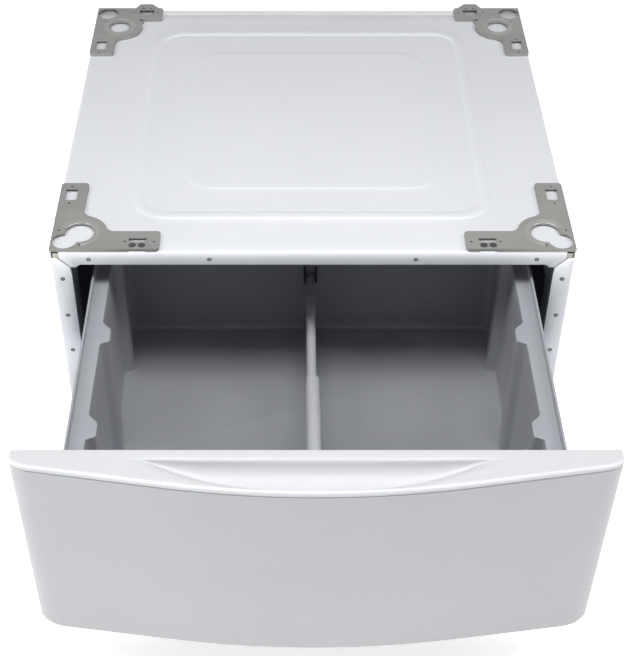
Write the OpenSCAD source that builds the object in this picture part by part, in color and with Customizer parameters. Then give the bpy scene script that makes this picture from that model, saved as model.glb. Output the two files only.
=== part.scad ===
// Laundry pedestal with one pull-out drawer. A folded steel cabinet carries a
// washer or dryer on its deck, and a divided plastic tub rides in it on ball slides.
// X runs to the right, Y to the back and Z up from the floor. The drawer is drawn open.

/* [Cabinet] */
// Width over the two side walls
cabinet_w = 686; // [640:1:740]
// Depth from the front flanges to the back edge
cabinet_d = 628; // [590:1:680]
// Height of the flat deck above the floor
deck_z = 381; // [370:1:420]
// Gap under the cabinet, filled by the levelling feet
foot_gap = 25; // [22:0.5:35]
// Thickness of the folded cabinet sheet
sheet_t = 1.2; // [0.8:0.1:2]
// Outside radius of the sheet's folds
fold_r = 3; // [2.5:0.25:5]
// Height of the flange folded down over the drawer opening
top_flange_h = 21.5; // [18:0.5:26]
// Extra depth of the top flange at its mitred corners
corner_drop = 4.5; // [2:0.5:8]
// Width of the flange folded in at each side of the opening
side_flange_w = 25.5; // [22:0.5:32]
// Width of the flanges that carry the back panel
rear_flange_w = 15; // [10:0.5:20]

/* [Deck embossing] */
// Width of the raised bead round the deck
bead_w = 17.5; // [12:0.5:24]
// Height of the raised bead
bead_h = 2; // [1:0.25:3]
// Run of the bead's sloping sides
bead_ramp = 3; // [1.5:0.25:5]
// Distance from the cabinet's side to the middle of the bead
bead_side = 106.5; // [95:0.5:115]
// Distance from the cabinet's front to the middle of the bead
bead_front = 77; // [70:0.5:90]
// Distance from the middle of the bead to the cabinet's back
bead_back = 71.5; // [65:0.5:80]
// Radius of the bead's corners, along its middle
bead_r = 40; // [30:1:60]
// Distance from the middle of the bead to the raised field at the sides
field_side = 63.5; // [40:0.5:80]
// Distance from the middle of the bead to the raised field, front and back
field_end = 64; // [40:0.5:80]
// Height of the raised field
field_h = 1; // [0.5:0.25:2]
// Corner radius of the raised field
field_r = 35; // [20:1:50]

/* [Frame] */
// Depth of the upright channels behind the flanges
post_d = 41; // [30:1:50]
// Thickness of the galvanised frame channels
frame_t = 1.2; // [1:0.1:2]
// Depth of the hat beams under the deck
beam_h = 20; // [12:1:22]
// Width of a hat beam's crown
beam_crown = 40; // [30:1:60]
// Width of each of a hat beam's flanges
beam_flange = 14; // [10:1:20]
// Height of the base rails
base_rail_h = 32; // [24:1:40]
// Thickness of the corner gussets
gusset_t = 3; // [2:0.5:5]
// Length of a corner gusset's side
gusset_l = 78; // [70:1:90]
// Height of the rail that carries each slide
support_h = 60; // [54:1:70]
// Thickness of the back panel
back_t = 0.8; // [0.6:0.1:1.5]

/* [Top brackets] */
// Thickness of the bracket steel
bracket_t = 2; // [1.5:0.25:3]
// Height of the bracket's top above the deck
bracket_h = 5; // [4:0.25:7]
// Length of the arms along the sides
side_arm_l = 144.5; // [135:0.5:155]
// Width of the arms along the sides
side_arm_w = 37; // [35:0.5:42]
// Length of the front arms
front_arm_l = 143; // [135:0.5:150]
// Width of the front arms
front_arm_w = 37.5; // [36:0.5:42]
// Length of the rear arms
rear_arm_l = 106; // [100:0.5:115]
// Radius of the brackets' outer corners
bracket_r = 5; // [2:0.5:8]
// Radius of the round boss between the arms
boss_r = 36; // [34:0.5:38]
// Radius of the foot hole in the corner
corner_hole_r = 16; // [14:0.5:16.5]
// Radius of the large foot hole in the front boss
front_hole_r = 19.2; // [17:0.2:20]
// Radius of the foot hole in the rear boss
rear_hole_r = 16; // [14:0.5:18]
// Radius of the dished ring round a boss hole
dish_r = 26.5; // [25:0.5:28]
// Depth of the dished ring
dish_h = 1.2; // [0.5:0.1:1.5]
// Distance between the two fixing holes
fixing_pitch = 12; // [12:0.5:14]
// Radius of each fixing hole
fixing_hole_r = 2.6; // [2:0.1:3]
// How far the rear tab passes the back of the cabinet
tab_out = 13; // [8:0.5:16]

/* [Drawer] */
// How far the drawer stands open
drawer_out = 345; // [330:1:348]
// Gap left behind the closed drawer front
closed_gap = 3.3; // [3.2:0.1:5]
// Height of the drawer front
front_h = 313.5; // [300:0.5:316]
// Drop from the deck to the top of the drawer front
front_drop = 4.5; // [3:0.5:8]
// Wall of the plastic drawer front
front_wall = 3; // [2:0.25:4]
// Depth of the front's bow at its top edge, in the middle
bow_top = 64; // [58:0.5:70]
// Depth of the front's bow at its bottom edge, in the middle
bow_bottom = 47; // [44:0.5:56]
// Radius of the bow at the top
bow_top_r = 1061; // [1000:1:1300]
// Radius of the bow at the bottom
bow_bottom_r = 1233; // [1100:1:1500]
// Half width of the rounded middle of the bow; the ends are straight
bow_half = 175; // [150:1:200]
// How far the front's round ends run in from its sides
edge_run = 20; // [14:0.5:24]
// Depth of the round ends, from the straight side to the bow
edge_d = 11; // [9:0.5:13]
// Radius of the front's bottom corners
bottom_corner_r = 18; // [12:1:24]
// Height of the cap that tops the drawer front
cap_h = 8; // [7:0.25:10]
// Height of the shadow groove below the cap
groove_h = 1.6; // [1:0.1:3]
// Depth of the shadow groove
groove_d = 2.5; // [1.5:0.25:4]
// Depth of the finger scoop
scoop_h = 14; // [12:0.5:18]
// Half width of the finger scoop at its top
scoop_half = 196; // [180:1:205]

/* [Tub] */
// Gap between the tub's rim and the drawer opening at each side
rim_side_gap = 25; // [22:0.5:30]
// Inside length of the tub
tub_l = 494; // [480:1:500]
// Gap from the drawer front to the tub's rim
tub_front_gap = 0.8; // [0.5:0.1:2]
// Wall of the tub
tub_wall = 3; // [2:0.25:3.5]
// Drop from the deck to the tub's rim
rim_drop = 51; // [50:0.5:56]
// Height of the rim above the ledge
rim_h = 11; // [8:0.5:14]
// Thickness of the rim
rim_t = 2; // [1.5:0.25:3]
// Width of the ledge inside the side rims
ledge_w = 19; // [17:0.5:20]
// Depth from the ledge to the floor of the tub
tub_h = 213; // [190:1:216]
// Corner radius of the tub
tub_r = 15; // [8:0.5:24]
// Number of ribs pressed in at each side
rib_count = 3; // [2:1:4]
// Distance between the ribs
rib_pitch = 167; // [110:1:180]
// Distance from the tub's front wall to the first rib
rib_first = 75; // [60:1:90]
// How far a rib stands in
rib_in = 12; // [6:0.5:14]
// Length of a rib's flat crown
rib_flat = 20; // [16:0.5:30]
// Length of a rib's gentle rear shoulder
rib_rear = 17; // [12:0.5:22]
// Length of a rib's tight front shoulder
rib_front = 7; // [6:0.5:12]

/* [Divider] */
// Thickness of the divider's low rear half
divider_t = 12.5; // [10:0.5:14]
// Thickness of the divider's tall front half
divider_front_t = 18; // [16:0.5:20]
// Wall of the hollow divider
divider_wall = 2; // [1.5:0.25:2.5]
// Height of the rear half
divider_rear_h = 107; // [80:1:120]
// Height of the front half at the step
divider_step_h = 154; // [130:1:160]
// Height of the front half at the drawer front
divider_front_h = 200; // [180:1:202]
// Distance from the tub's rear wall to the step
divider_step = 258; // [200:1:300]
// How far the divider lifts in its guides
divider_lift = 44; // [20:1:45]

/* [Slides] */
// Length of the slide members
slide_l = 500; // [480:1:510]
// Height of the cabinet member
slide_h = 45; // [43:0.5:48]
// Space that a slide fills from side to side
slide_w = 12.7; // [12.5:0.1:13.5]
// Thickness of the slide steel
slide_t = 1.5; // [1.2:0.1:1.6]
// Drop from the deck to the middle of the slides
slide_drop = 190; // [180:1:200]
// Radius of the balls
ball_r = 2.2; // [2:0.05:2.3]
// Distance between the two races
race_gap = 5; // [4.9:0.05:5.2]
// Number of balls in each row
ball_count = 7; // [5:1:9]
// Distance between the balls
ball_pitch = 20; // [14:0.5:22]
// Thickness of the ball cage
cage_t = 1; // [0.8:0.1:1.2]

/* [Feet] */
// Distance of the feet from the cabinet's sides
foot_side = 43; // [42:0.5:50]
// Distance of the feet from the cabinet's front and back
foot_end = 54; // [52:0.5:60]
// Radius of the foot pads
pad_r = 20; // [16:0.5:24]
// Height of the foot pads
pad_h = 11; // [9:0.5:12]
// Radius of the threaded stud
stud_r = 5; // [4:0.5:5.5]
// Length of the threaded part of the stud
stud_l = 44; // [38:1:50]
// Width across the flats of the stud's hexagon
stud_flats = 19; // [17:0.5:20]
// Height of the stud's hexagon
stud_hex_h = 6; // [5:0.5:8]

/* [Hidden] */
$fn = 48;

white_paint = [0.92, 0.93, 0.94];
galvanised = [0.58, 0.6, 0.62];
bracket_grey = [0.62, 0.62, 0.6];
tub_grey = [0.6, 0.62, 0.65];
divider_grey = [0.75, 0.77, 0.79];
zinc = [0.72, 0.74, 0.76];
rubber_black = [0.12, 0.12, 0.12];

// Small gaps and overlaps used all over
fit = 0.05;       // running clearance of a turning part
seat = 0.3;       // clearance of a part that drops in
eps = 0.01;

half_w = cabinet_w / 2;
inner_w = half_w - sheet_t;          // inside face of a side wall
fold_in = fold_r - sheet_t;          // the frame keeps clear of the folds' inside radius
frame_half = inner_w - fold_in;
opening_half = half_w - side_flange_w;
base_z = foot_gap;
under_deck = deck_z - sheet_t;
frame_z = base_z + gusset_t;         // the frame stands on the gussets
post_back = sheet_t + post_d;

// The row's origin lies on the floor, in the middle of the open pedestal
front_reach = drawer_out + bow_top;
rear_reach = cabinet_d + tab_out;
cabinet_y = (front_reach - rear_reach) / 2;

function below(h) = deck_z - h;
function circle_points(r, a0, a1, n, centre = [0, 0]) =
    [for (i = [0:n]) centre + r * [cos(a0 + (a1 - a0) * i / n), sin(a0 + (a1 - a0) * i / n)]];
function mirrored(points) =
    concat(points, [for (i = [len(points) - 1:-1:0]) [-points[i].x, points[i].y]]);

// Measures from the cabinet's front plane
module from_front() translate([0, cabinet_y, 0]) children();
// Measures from the back of the open drawer front
module from_drawer() translate([0, cabinet_y - drawer_out, 0]) children();
module sides() for (s = [0, 1]) mirror([s, 0, 0]) children();
module ends() { children(); translate([0, cabinet_d, 0]) mirror([0, 1, 0]) children(); }
module along_x(x0, x1) translate([x0, 0, 0]) rotate([90, 0, 90]) linear_extrude(x1 - x0) children();
module along_y(y0, y1) translate([0, y1, 0]) rotate([90, 0, 0]) linear_extrude(y1 - y0) children();
module along_z(z0, z1) translate([0, 0, z0]) linear_extrude(z1 - z0) children();
module rect(x0, x1, y0, y1) translate([x0, y0]) square([x1 - x0, y1 - y0]);
module block(x, y, z) translate([x[0], y[0], z[0]]) cube([x[1] - x[0], y[1] - y[0], z[1] - z[0]]);

module round_rect(w, l, r) {
    square([w - 2 * r, l], center = true);
    square([w, l - 2 * r], center = true);
    for (x = [-1, 1], y = [-1, 1]) translate([x * (w / 2 - r), y * (l / 2 - r)]) circle(r);
}

// Sweeps a section round a rectangle with round corners; the section's +x points outwards
module ring_sweep(w, l, r) {
    for (side = [0:3]) {
        out = (side % 2 == 0 ? w : l) / 2;
        run = (side % 2 == 0 ? l : w) - 2 * r;
        rotate(90 * side) {
            translate([out, 0, 0]) along_y(-run / 2, run / 2) children();
            translate([out - r, run / 2, 0]) rotate_extrude(angle = 90) translate([r, 0]) children();
        }
    }
}

// Open channel of folded sheet, seen end on: a web with two legs
module channel_section(web, leg, t) {
    rect(0, t, 0, web);
    rect(0, leg, 0, t);
    rect(0, leg, web - t, web);
}

// ---------------------------------------------------------------- cabinet

// Side walls and deck, seen from the front, with round folds between them
module wrap_section() {
    difference() {
        union() {
            rect(-half_w, half_w, base_z, deck_z - fold_r);
            rect(-half_w + fold_r, half_w - fold_r, base_z, deck_z);
            for (s = [-1, 1]) translate([s * (half_w - fold_r), deck_z - fold_r]) circle(fold_r);
        }
        rect(-inner_w, inner_w, base_z - 1, deck_z - fold_r);
        rect(-half_w + fold_r, half_w - fold_r, base_z - 1, under_deck);
        for (s = [-1, 1]) translate([s * (half_w - fold_r), deck_z - fold_r]) circle(fold_r - sheet_t);
    }
}

// Quarter turn of sheet between two plates, round the z axis
module fold_section() {
    intersection() {
        difference() {
            circle(fold_r);
            circle(fold_r - sheet_t);
        }
        rect(-fold_r, 0, -fold_r, 0);
    }
}

notch_w = 11.5;                        // corner relief, measured from the side
notch_h = 11;
seam_w = 0.8;                          // mitre seam between the flanges
seam_past = 3;                         // how far the seam runs on into the relief
flange_low = top_flange_h + corner_drop;
drop_half = opening_half - 6.5;        // where the top flange is at its deepest
drop_start = drop_half - 1.3 * corner_drop;

// Front face of the flanges, with the mitre seams and corner reliefs cut
module flange_face() {
    difference() {
        union() {
            rect(-half_w + fold_r, half_w - fold_r, below(top_flange_h), deck_z - fold_r);
            for (s = [-1, 1]) {
                polygon([
                    [s * (opening_half + 1), below(top_flange_h) + 1],
                    [s * (opening_half + 1), below(flange_low)],
                    [s * drop_half, below(flange_low)],
                    [s * drop_start, below(top_flange_h)],
                    [s * drop_start, below(top_flange_h) + 1]
                ]);
                mirror([(1 - s) / 2, 0]) rect(opening_half, half_w - fold_r, base_z, deck_z - fold_r);
            }
        }
        for (s = [-1, 1]) {
            translate([s * (half_w - fold_r), deck_z - fold_r])
                square([2 * notch_w - 2 * fold_r, 2 * notch_h - 2 * fold_r], center = true);
            mitre_seam(s);
        }
    }
}

// The seam runs up and out at 45 degrees from the opening's corner to the relief
module mitre_seam(s) {
    run = side_flange_w - notch_w + seam_past;
    polygon([
        [s * (opening_half - 1), below(flange_low + 1)],
        [s * (opening_half - 1 + seam_w), below(flange_low + 1)],
        [s * (opening_half + run + seam_w), below(flange_low - run)],
        [s * (opening_half + run), below(flange_low - run)]
    ]);
}

field_w = cabinet_w - 2 * bead_side - 2 * field_side;
field_l = cabinet_d - bead_front - bead_back - 2 * field_end;
bead_rect_w = cabinet_w - 2 * bead_side;
bead_rect_l = cabinet_d - bead_front - bead_back;
bead_mid_y = (bead_front + cabinet_d - bead_back) / 2;

// Section of the deck bead; it bites half the sheet so that it fuses with the deck
module bead_section() {
    polygon([
        [-bead_w / 2, -sheet_t / 2], [-bead_w / 2, 0], [-bead_w / 2 + bead_ramp, bead_h],
        [bead_w / 2 - bead_ramp, bead_h], [bead_w / 2, 0], [bead_w / 2, -sheet_t / 2]
    ]);
}

module bead_hollow_section() {
    low = sheet_t + 1;
    slope = bead_ramp / bead_h;
    polygon([
        [-bead_w / 2 - slope, -low], [-bead_w / 2 + bead_ramp, bead_h - sheet_t],
        [bead_w / 2 - bead_ramp, bead_h - sheet_t], [bead_w / 2 + slope, -low]
    ]);
}

module field_edge_section() {
    polygon([
        [-1, -sheet_t / 2], [-1, field_h], [0, field_h], [bead_ramp, 0], [bead_ramp, -sheet_t / 2]
    ]);
}

module cabinet_wrap() {
    color(white_paint) from_front() difference() {
        union() {
            along_y(fold_r, cabinet_d) wrap_section();
            along_y(0, sheet_t) flange_face();
            along_x(-half_w + notch_w, half_w - notch_w)
                translate([fold_r, deck_z - fold_r]) mirror([0, 1]) fold_section();
            sides() along_z(base_z, below(notch_h))
                translate([half_w - fold_r, fold_r]) mirror([1, 0]) fold_section();
            sides() block([half_w - rear_flange_w, inner_w + eps], [cabinet_d - sheet_t, cabinet_d],
                          [base_z, deck_z - fold_r]);
            block([-inner_w + fold_r, inner_w - fold_r], [cabinet_d - sheet_t, cabinet_d],
                  [below(rear_flange_w), under_deck + eps]);
            translate([0, bead_mid_y, deck_z]) {
                ring_sweep(bead_rect_w, bead_rect_l, bead_r) bead_section();
                ring_sweep(field_w, field_l, field_r) field_edge_section();
                translate([0, 0, -sheet_t / 2]) linear_extrude(field_h + sheet_t / 2)
                    round_rect(field_w, field_l, field_r);
            }
        }
        translate([0, bead_mid_y, deck_z]) {
            ring_sweep(bead_rect_w, bead_rect_l, bead_r) bead_hollow_section();
            translate([0, 0, -sheet_t - 1]) linear_extrude(field_h + 1)
                round_rect(field_w - 2, field_l - 2, field_r - 1);
        }
        rivet_places() cylinder(r = rivet_r, h = 3 * sheet_t, center = true);
        back_screw_places() cylinder(r = screw_r, h = 3 * sheet_t, center = true);
    }
}

// Blind rivets through the front flanges
rivet_r = 1.6;
rivet_core_r = 0.9;                    // bore left by the pulled mandrel
rivet_head_r = 3.2;
rivet_head_h = 0.9;
rivet_tail = 0.8;                      // how far a rivet stands out behind the frame
top_rivets = [135, 293];
top_rivet_drop = 0.6 * top_flange_h;
side_rivet_first = 46;
side_rivet_pitch = 64;
side_rivet_clear = 20;                 // least height of the lowest rivet above the base
side_rivets = [for (h = [side_rivet_first:side_rivet_pitch:deck_z - base_z - side_rivet_clear]) h];

module rivet_places() sides() {
    for (x = top_rivets) translate([x, sheet_t / 2, below(top_rivet_drop)])
        rotate([90, 0, 0]) children();
    for (h = side_rivets) translate([half_w - side_flange_w / 2, sheet_t / 2, below(h)])
        rotate([90, 0, 0]) children();
}

module flange_rivets() {
    low = -sheet_t - frame_t - rivet_tail;
    color(white_paint) from_front() rivet_places() translate([0, 0, sheet_t / 2])
        rotate_extrude() polygon([
            [rivet_core_r, low], [rivet_r, low], [rivet_r, 0], [rivet_head_r, 0],
            [rivet_head_r - 0.6, 0.7 * rivet_head_h], [rivet_core_r + 1, rivet_head_h],
            [rivet_core_r + 0.4, 0.6 * rivet_head_h], [rivet_core_r, 0.6 * rivet_head_h]
        ]);
}

// Sheet-metal screws: the same thread everywhere, with two sizes of head
screw_r = 2;
screw_tail = 3;                        // how far a screw stands out behind the last sheet
screw_head = [4, 2.4];                 // radius and height of a pan head
flat_head = [3.2, 1.2];                // the same for the low heads inside the slides
screw_slot_w = 0.9;
back_screw_rows = [70, 160, 250];
back_screw_xs = [-200, 0, 200];

module back_screw_places() {
    for (h = back_screw_rows, s = [-1, 1])
        translate([s * (half_w - rear_flange_w / 2), cabinet_d - sheet_t / 2, below(h)])
            rotate([-90, 0, 0]) children();
    for (x = back_screw_xs) translate([x, cabinet_d - sheet_t / 2, below(0.6 * rear_flange_w)])
        rotate([-90, 0, 0]) children();
}

// Pan-head screw along +z, its head [radius, height] on top of z = 0, with a cross recess
module pan_screw(r, l, head) {
    crown = [for (u = [0:0.25:1]) [1 - 0.12 * u - 0.25 * pow(u, 3), 0.45 + 0.55 * u]];
    difference() {
        union() {
            translate([0, 0, -l]) cylinder(r = r, h = l);
            rotate_extrude() polygon(concat(
                [[0, 0], [head[0], 0]],
                [for (p = crown) [head[0] * p.x, head[1] * p.y]],
                [[0, head[1]]]
            ));
        }
        for (a = [0, 90]) rotate(a) translate([-head[0] / 2, -screw_slot_w / 2, 0.45 * head[1]])
            cube([head[0], screw_slot_w, head[1]]);
    }
}

module back_screws() {
    color(zinc) from_front() back_screw_places() translate([0, 0, sheet_t / 2])
        pan_screw(screw_r, sheet_t + back_t + frame_t + screw_tail, screw_head);
}

// Flat panel with pressed beads, held inside the rear flanges
panel_gap = 1;
panel_bead_count = 3;
panel_bead_half = 9;                   // half height of a bead on the panel
panel_bead_in = 4;                     // how far a bead stands in
panel_bead_end = 60;                   // from the uprights to the end of a bead
bead_wall_gap = 0.4;                   // makes a bead's slopes as thick as the panel
module back_panel() {
    back = cabinet_d - sheet_t;
    color(galvanised) from_front() difference() {
        union() {
            block([-inner_w + panel_gap, inner_w - panel_gap], [back - back_t, back],
                  [base_z + panel_gap, under_deck - panel_gap]);
            back_beads(0);
        }
        translate([0, back_t, 0]) back_beads(1);
        back_screw_places() cylinder(r = screw_r, h = 6 * sheet_t, center = true);
    }
}

module back_beads(pass) {
    half = opening_half - panel_bead_end;
    crown = panel_bead_half - panel_bead_in - 1 - pass * bead_wall_gap;
    foot = panel_bead_half - pass * bead_wall_gap;
    deep = back_t * pass + eps;
    for (i = [1:panel_bead_count])
        translate([0, cabinet_d - sheet_t - back_t, below(i * (deck_z - base_z) / (panel_bead_count + 1))])
            along_x(-half, half) polygon([
                [-panel_bead_in, -crown], [eps, -panel_bead_half], [deep, -foot],
                [deep, foot], [eps, panel_bead_half], [-panel_bead_in, crown]
            ]);
}

// Upright channel behind a side flange; its inner leg lines the drawer opening
module post() {
    along_z(frame_z, under_deck - fold_in) {
        rect(opening_half, frame_half, sheet_t, sheet_t + frame_t);
        rect(opening_half, opening_half + frame_t, sheet_t, post_back);
        rect(opening_half, frame_half, post_back - frame_t, post_back);
    }
}

module front_post() from_front() difference() {
    post();
    rivet_places() cylinder(r = rivet_r, h = 6 * sheet_t, center = true);
    support_screw_places() cylinder(r = screw_r, h = 8 * frame_t, center = true);
}
module rear_post() from_front() difference() {
    translate([0, cabinet_d - back_t, 0]) mirror([0, 1, 0]) post();
    back_screw_places() cylinder(r = screw_r, h = 16 * sheet_t, center = true);
}
module left_front_post() color(galvanised) mirror([1, 0, 0]) front_post();
module right_front_post() color(galvanised) front_post();
module left_rear_post() color(galvanised) mirror([1, 0, 0]) rear_post();
module right_rear_post() color(galvanised) rear_post();

// Channel behind the top flange, from post to post
header_d = 25;
module front_header() {
    color(galvanised) from_front() difference() {
        along_x(-opening_half, opening_half) translate([sheet_t, below(top_flange_h - 0.5)])
            channel_section(top_flange_h - 0.5 - fold_r, header_d, frame_t);
        rivet_places() cylinder(r = rivet_r, h = 6 * sheet_t, center = true);
    }
}

// Hat beam under the deck: two flanges on the sheet and a hollow crown below them
module deck_beam(y) {
    half = beam_crown / 2;
    low = under_deck - beam_h;
    color(galvanised) from_front() translate([0, y, 0]) along_x(-frame_half, frame_half) {
        for (s = [0, 1]) mirror([s, 0]) {
            rect(half, half + beam_flange, under_deck - frame_t, under_deck);
            rect(half - frame_t, half, low, under_deck);
        }
        rect(-half, half, low, low + frame_t);
    }
}
beam_end = 110;                        // from the cabinet's front and back to the outer beams
module front_deck_beam() deck_beam(beam_end);
module middle_deck_beam() deck_beam(cabinet_d / 2);
module rear_deck_beam() deck_beam(cabinet_d - beam_end);

// Base: channels between the posts, standing on the corner gussets
rail_gap = 2;                          // from a cross rail's legs to the back of the posts
module cross_rail() along_x(-opening_half, opening_half)
    translate([0, frame_z]) channel_section(base_rail_h, post_back - rail_gap, frame_t);
module front_base_rail() color(white_paint) from_front() cross_rail();
module rear_base_rail() color(galvanised) from_front()
    translate([0, cabinet_d - sheet_t - back_t, 0]) mirror([0, 1, 0]) cross_rail();

module side_channel(z0, h) along_y(post_back, cabinet_d - back_t - post_back)
    translate([opening_half, z0]) channel_section(h, inner_w - opening_half, frame_t);
module side_base_rail() from_front() side_channel(frame_z, base_rail_h);
module left_base_rail() color(galvanised) mirror([1, 0, 0]) side_base_rail();
module right_base_rail() color(galvanised) side_base_rail();

foot_x = half_w - foot_side;
module foot_places() from_front() sides() ends() translate([foot_x, foot_end, 0]) children();

module corner_gussets() {
    color(galvanised) difference() {
        from_front() sides() ends() block([frame_half - gusset_l, frame_half],
            [sheet_t + back_t, sheet_t + gusset_l], [base_z, frame_z]);
        foot_places() cylinder(r = stud_r + seat, h = 2 * frame_z);
    }
}

nut_h = 8;
nut_r = 1.96 * stud_r;                 // radius over the corners of the nut's hexagon
module weld_nuts() {
    color(zinc) foot_places() translate([0, 0, frame_z]) difference() {
        cylinder(r = nut_r, h = nut_h, $fn = 6);
        translate([0, 0, -1]) cylinder(r = stud_r + fit, h = nut_h + 2);
    }
}

// Rail between the posts that the cabinet's slide member is screwed to
slide_z = below(slide_drop);
module slide_support() from_front() difference() {
    side_channel(slide_z - support_h / 2, support_h);
    support_screw_places() cylinder(r = screw_r, h = 8 * frame_t, center = true);
}
module left_slide_support() color(galvanised) mirror([1, 0, 0]) slide_support();
module right_slide_support() color(galvanised) slide_support();

// ---------------------------------------------------------------- slides

slide_front = 6;                       // from the cabinet's front to the slide
cabinet_member_gap = 1.6;              // from a member's legs to the other member's web
drawer_member_gap = 3;
cabinet_member_d = slide_w - slide_t - cabinet_member_gap;
drawer_member_d = slide_w - slide_t - drawer_member_gap;
drawer_member_h = slide_h - 2 * slide_t - 2 * race_gap;
slide_inner_x = opening_half - slide_w;         // face of the drawer member on the tub rail
support_screw_ys = [24, 180, 330, 470];
slide_screw_l = slide_t + frame_t + screw_tail + 1;

module support_screw_places() for (y = support_screw_ys)
    translate([opening_half, slide_front + y, slide_z]) rotate([0, -90, 0]) children();

module cabinet_slide() from_front() difference() {
    translate([opening_half, 0, slide_z - slide_h / 2]) along_y(slide_front, slide_front + slide_l)
        mirror([1, 0]) channel_section(slide_h, cabinet_member_d, slide_t);
    support_screw_places() cylinder(r = screw_r, h = 8 * frame_t, center = true);
}
module left_cabinet_slide() color(zinc) mirror([1, 0, 0]) cabinet_slide();
module right_cabinet_slide() color(zinc) cabinet_slide();

module support_screws() {
    color(zinc) from_front() sides() support_screw_places() translate([0, 0, slide_t])
        pan_screw(screw_r, slide_screw_l, flat_head);
}

drawer_travel = drawer_out - closed_gap;
drawer_slide_front = slide_front - drawer_travel;
module drawer_slide_member() from_front() difference() {
    translate([slide_inner_x, 0, slide_z - drawer_member_h / 2])
        along_y(drawer_slide_front, drawer_slide_front + slide_l)
            channel_section(drawer_member_h, drawer_member_d, slide_t);
    drawer_slide_screw_places() cylinder(r = screw_r, h = 8 * frame_t, center = true);
}
module left_drawer_slide() color(zinc) mirror([1, 0, 0]) drawer_slide_member();
module right_drawer_slide() color(zinc) drawer_slide_member();

drawer_screw_ys = [30, 190, 350, 460];
module drawer_slide_screw_places() for (y = drawer_screw_ys)
    translate([slide_inner_x, drawer_slide_front + y, slide_z]) rotate([0, 90, 0]) children();

module slide_screws() {
    color(zinc) from_front() sides() drawer_slide_screw_places() translate([0, 0, slide_t])
        pan_screw(screw_r, slide_screw_l, flat_head);
}

// The cage runs at half the drawer's speed and keeps the balls apart in their two rows
cage_l = ball_count * ball_pitch;
cage_y = slide_front + (slide_l - drawer_travel) / 2;
cage_leg = 6;
race_z = slide_h / 2 - slide_t - race_gap / 2;
cage_web_x = opening_half - slide_t - flat_head[1] - seat;
ball_x = cage_web_x - cage_t - ball_r - seat;

module ball_places() for (i = [0:ball_count - 1], s = [-1, 1])
    translate([ball_x, cage_y + (i - (ball_count - 1) / 2) * ball_pitch, slide_z + s * race_z])
        children();

module ball_cage() from_front() difference() {
    translate([cage_web_x, 0, slide_z - race_z - cage_t / 2])
        along_y(cage_y - cage_l / 2, cage_y + cage_l / 2)
            mirror([1, 0]) channel_section(2 * race_z + cage_t, cage_leg, cage_t);
    ball_places() cylinder(r = ball_r, h = 4, center = true);
}
module left_ball_cage() color(zinc) mirror([1, 0, 0]) ball_cage();
module right_ball_cage() color(zinc) ball_cage();

module balls() from_front() ball_places() sphere(ball_r, $fn = 24);
module left_balls() color("silver") mirror([1, 0, 0]) balls();
module right_balls() color("silver") balls();

// ---------------------------------------------------------------- top brackets

// Area that fills the inner corner between a line and a round boss with a tangent arc.
// The line runs along +x at height y = 0 below the fillet; the boss centre is at c.
module blend_corner(c, r, fillet_r) {
    reach = sqrt(pow(r + fillet_r, 2) - pow(fillet_r - c.y, 2));
    middle = [c.x + reach, fillet_r];
    difference() {
        polygon([c, [middle.x, -eps], [middle.x, 0], middle, c + (middle - c) * r / (r + fillet_r)]);
        translate(middle) circle(fillet_r);
    }
}

// Two arms along the cabinet's edges with a round boss between them
module bracket_outline(x_arm, x_w, y_arm, y_w, boss) {
    rect(0, x_arm - bracket_r, 0, x_w);
    rect(0, x_arm, bracket_r, x_w - bracket_r);
    for (y = [bracket_r, x_w - bracket_r]) translate([x_arm - bracket_r, y]) circle(bracket_r);
    rect(0, y_w, 0, y_arm - bracket_r);
    rect(bracket_r, y_w - bracket_r, 0, y_arm);
    for (x = [bracket_r, y_w - bracket_r]) translate([x, y_arm - bracket_r]) circle(bracket_r);
    intersection() {
        translate(boss) circle(boss_r);
        rect(0, boss.x + boss_r, 0, boss.y + boss_r);
    }
    translate([0, x_w]) blend_corner(boss - [0, x_w], boss_r, x_blend_r);
    translate([y_w, 0]) mirror([1, -1]) blend_corner([boss.y, boss.x - y_w], boss_r, y_blend_r);
}

x_blend_r = 12;                                   // fillets between the boss and the arms
y_blend_r = 16;
dish_slope = 5;                                   // run of the dish's sloping side

// Pressed bracket: a plate held off the deck by a rim along its edges, dished round the boss hole
module bracket_shell(x_arm, x_w, y_arm, y_w, boss) {
    plate_z = bracket_h - bracket_t;
    difference() {
        linear_extrude(bracket_h) bracket_outline(x_arm, x_w, y_arm, y_w, boss);
        translate([0, 0, -1]) linear_extrude(plate_z + 1) {
            rect(bracket_t, x_arm - bracket_t, bracket_t, x_w - bracket_t);
            rect(bracket_t, y_w - bracket_t, bracket_t, y_arm - bracket_t);
            intersection() {
                translate(boss) circle(boss_r - bracket_t);
                rect(bracket_t, boss.x + boss_r, bracket_t, boss.y + boss_r);
            }
        }
    }
    translate([boss.x, boss.y, -bracket_t]) dish(bracket_h, eps);
}

module dish(top, lift) rotate_extrude() polygon([
    [0, top - dish_h], [dish_r - dish_slope, top - dish_h], [dish_r, top],
    [dish_r, top + lift], [0, top + lift]
]);

// Hole with a shallow dished ring round it
module dished_hole(r) {
    cylinder(r = r, h = through, center = true);
    dish(bracket_h, 1);
}

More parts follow.
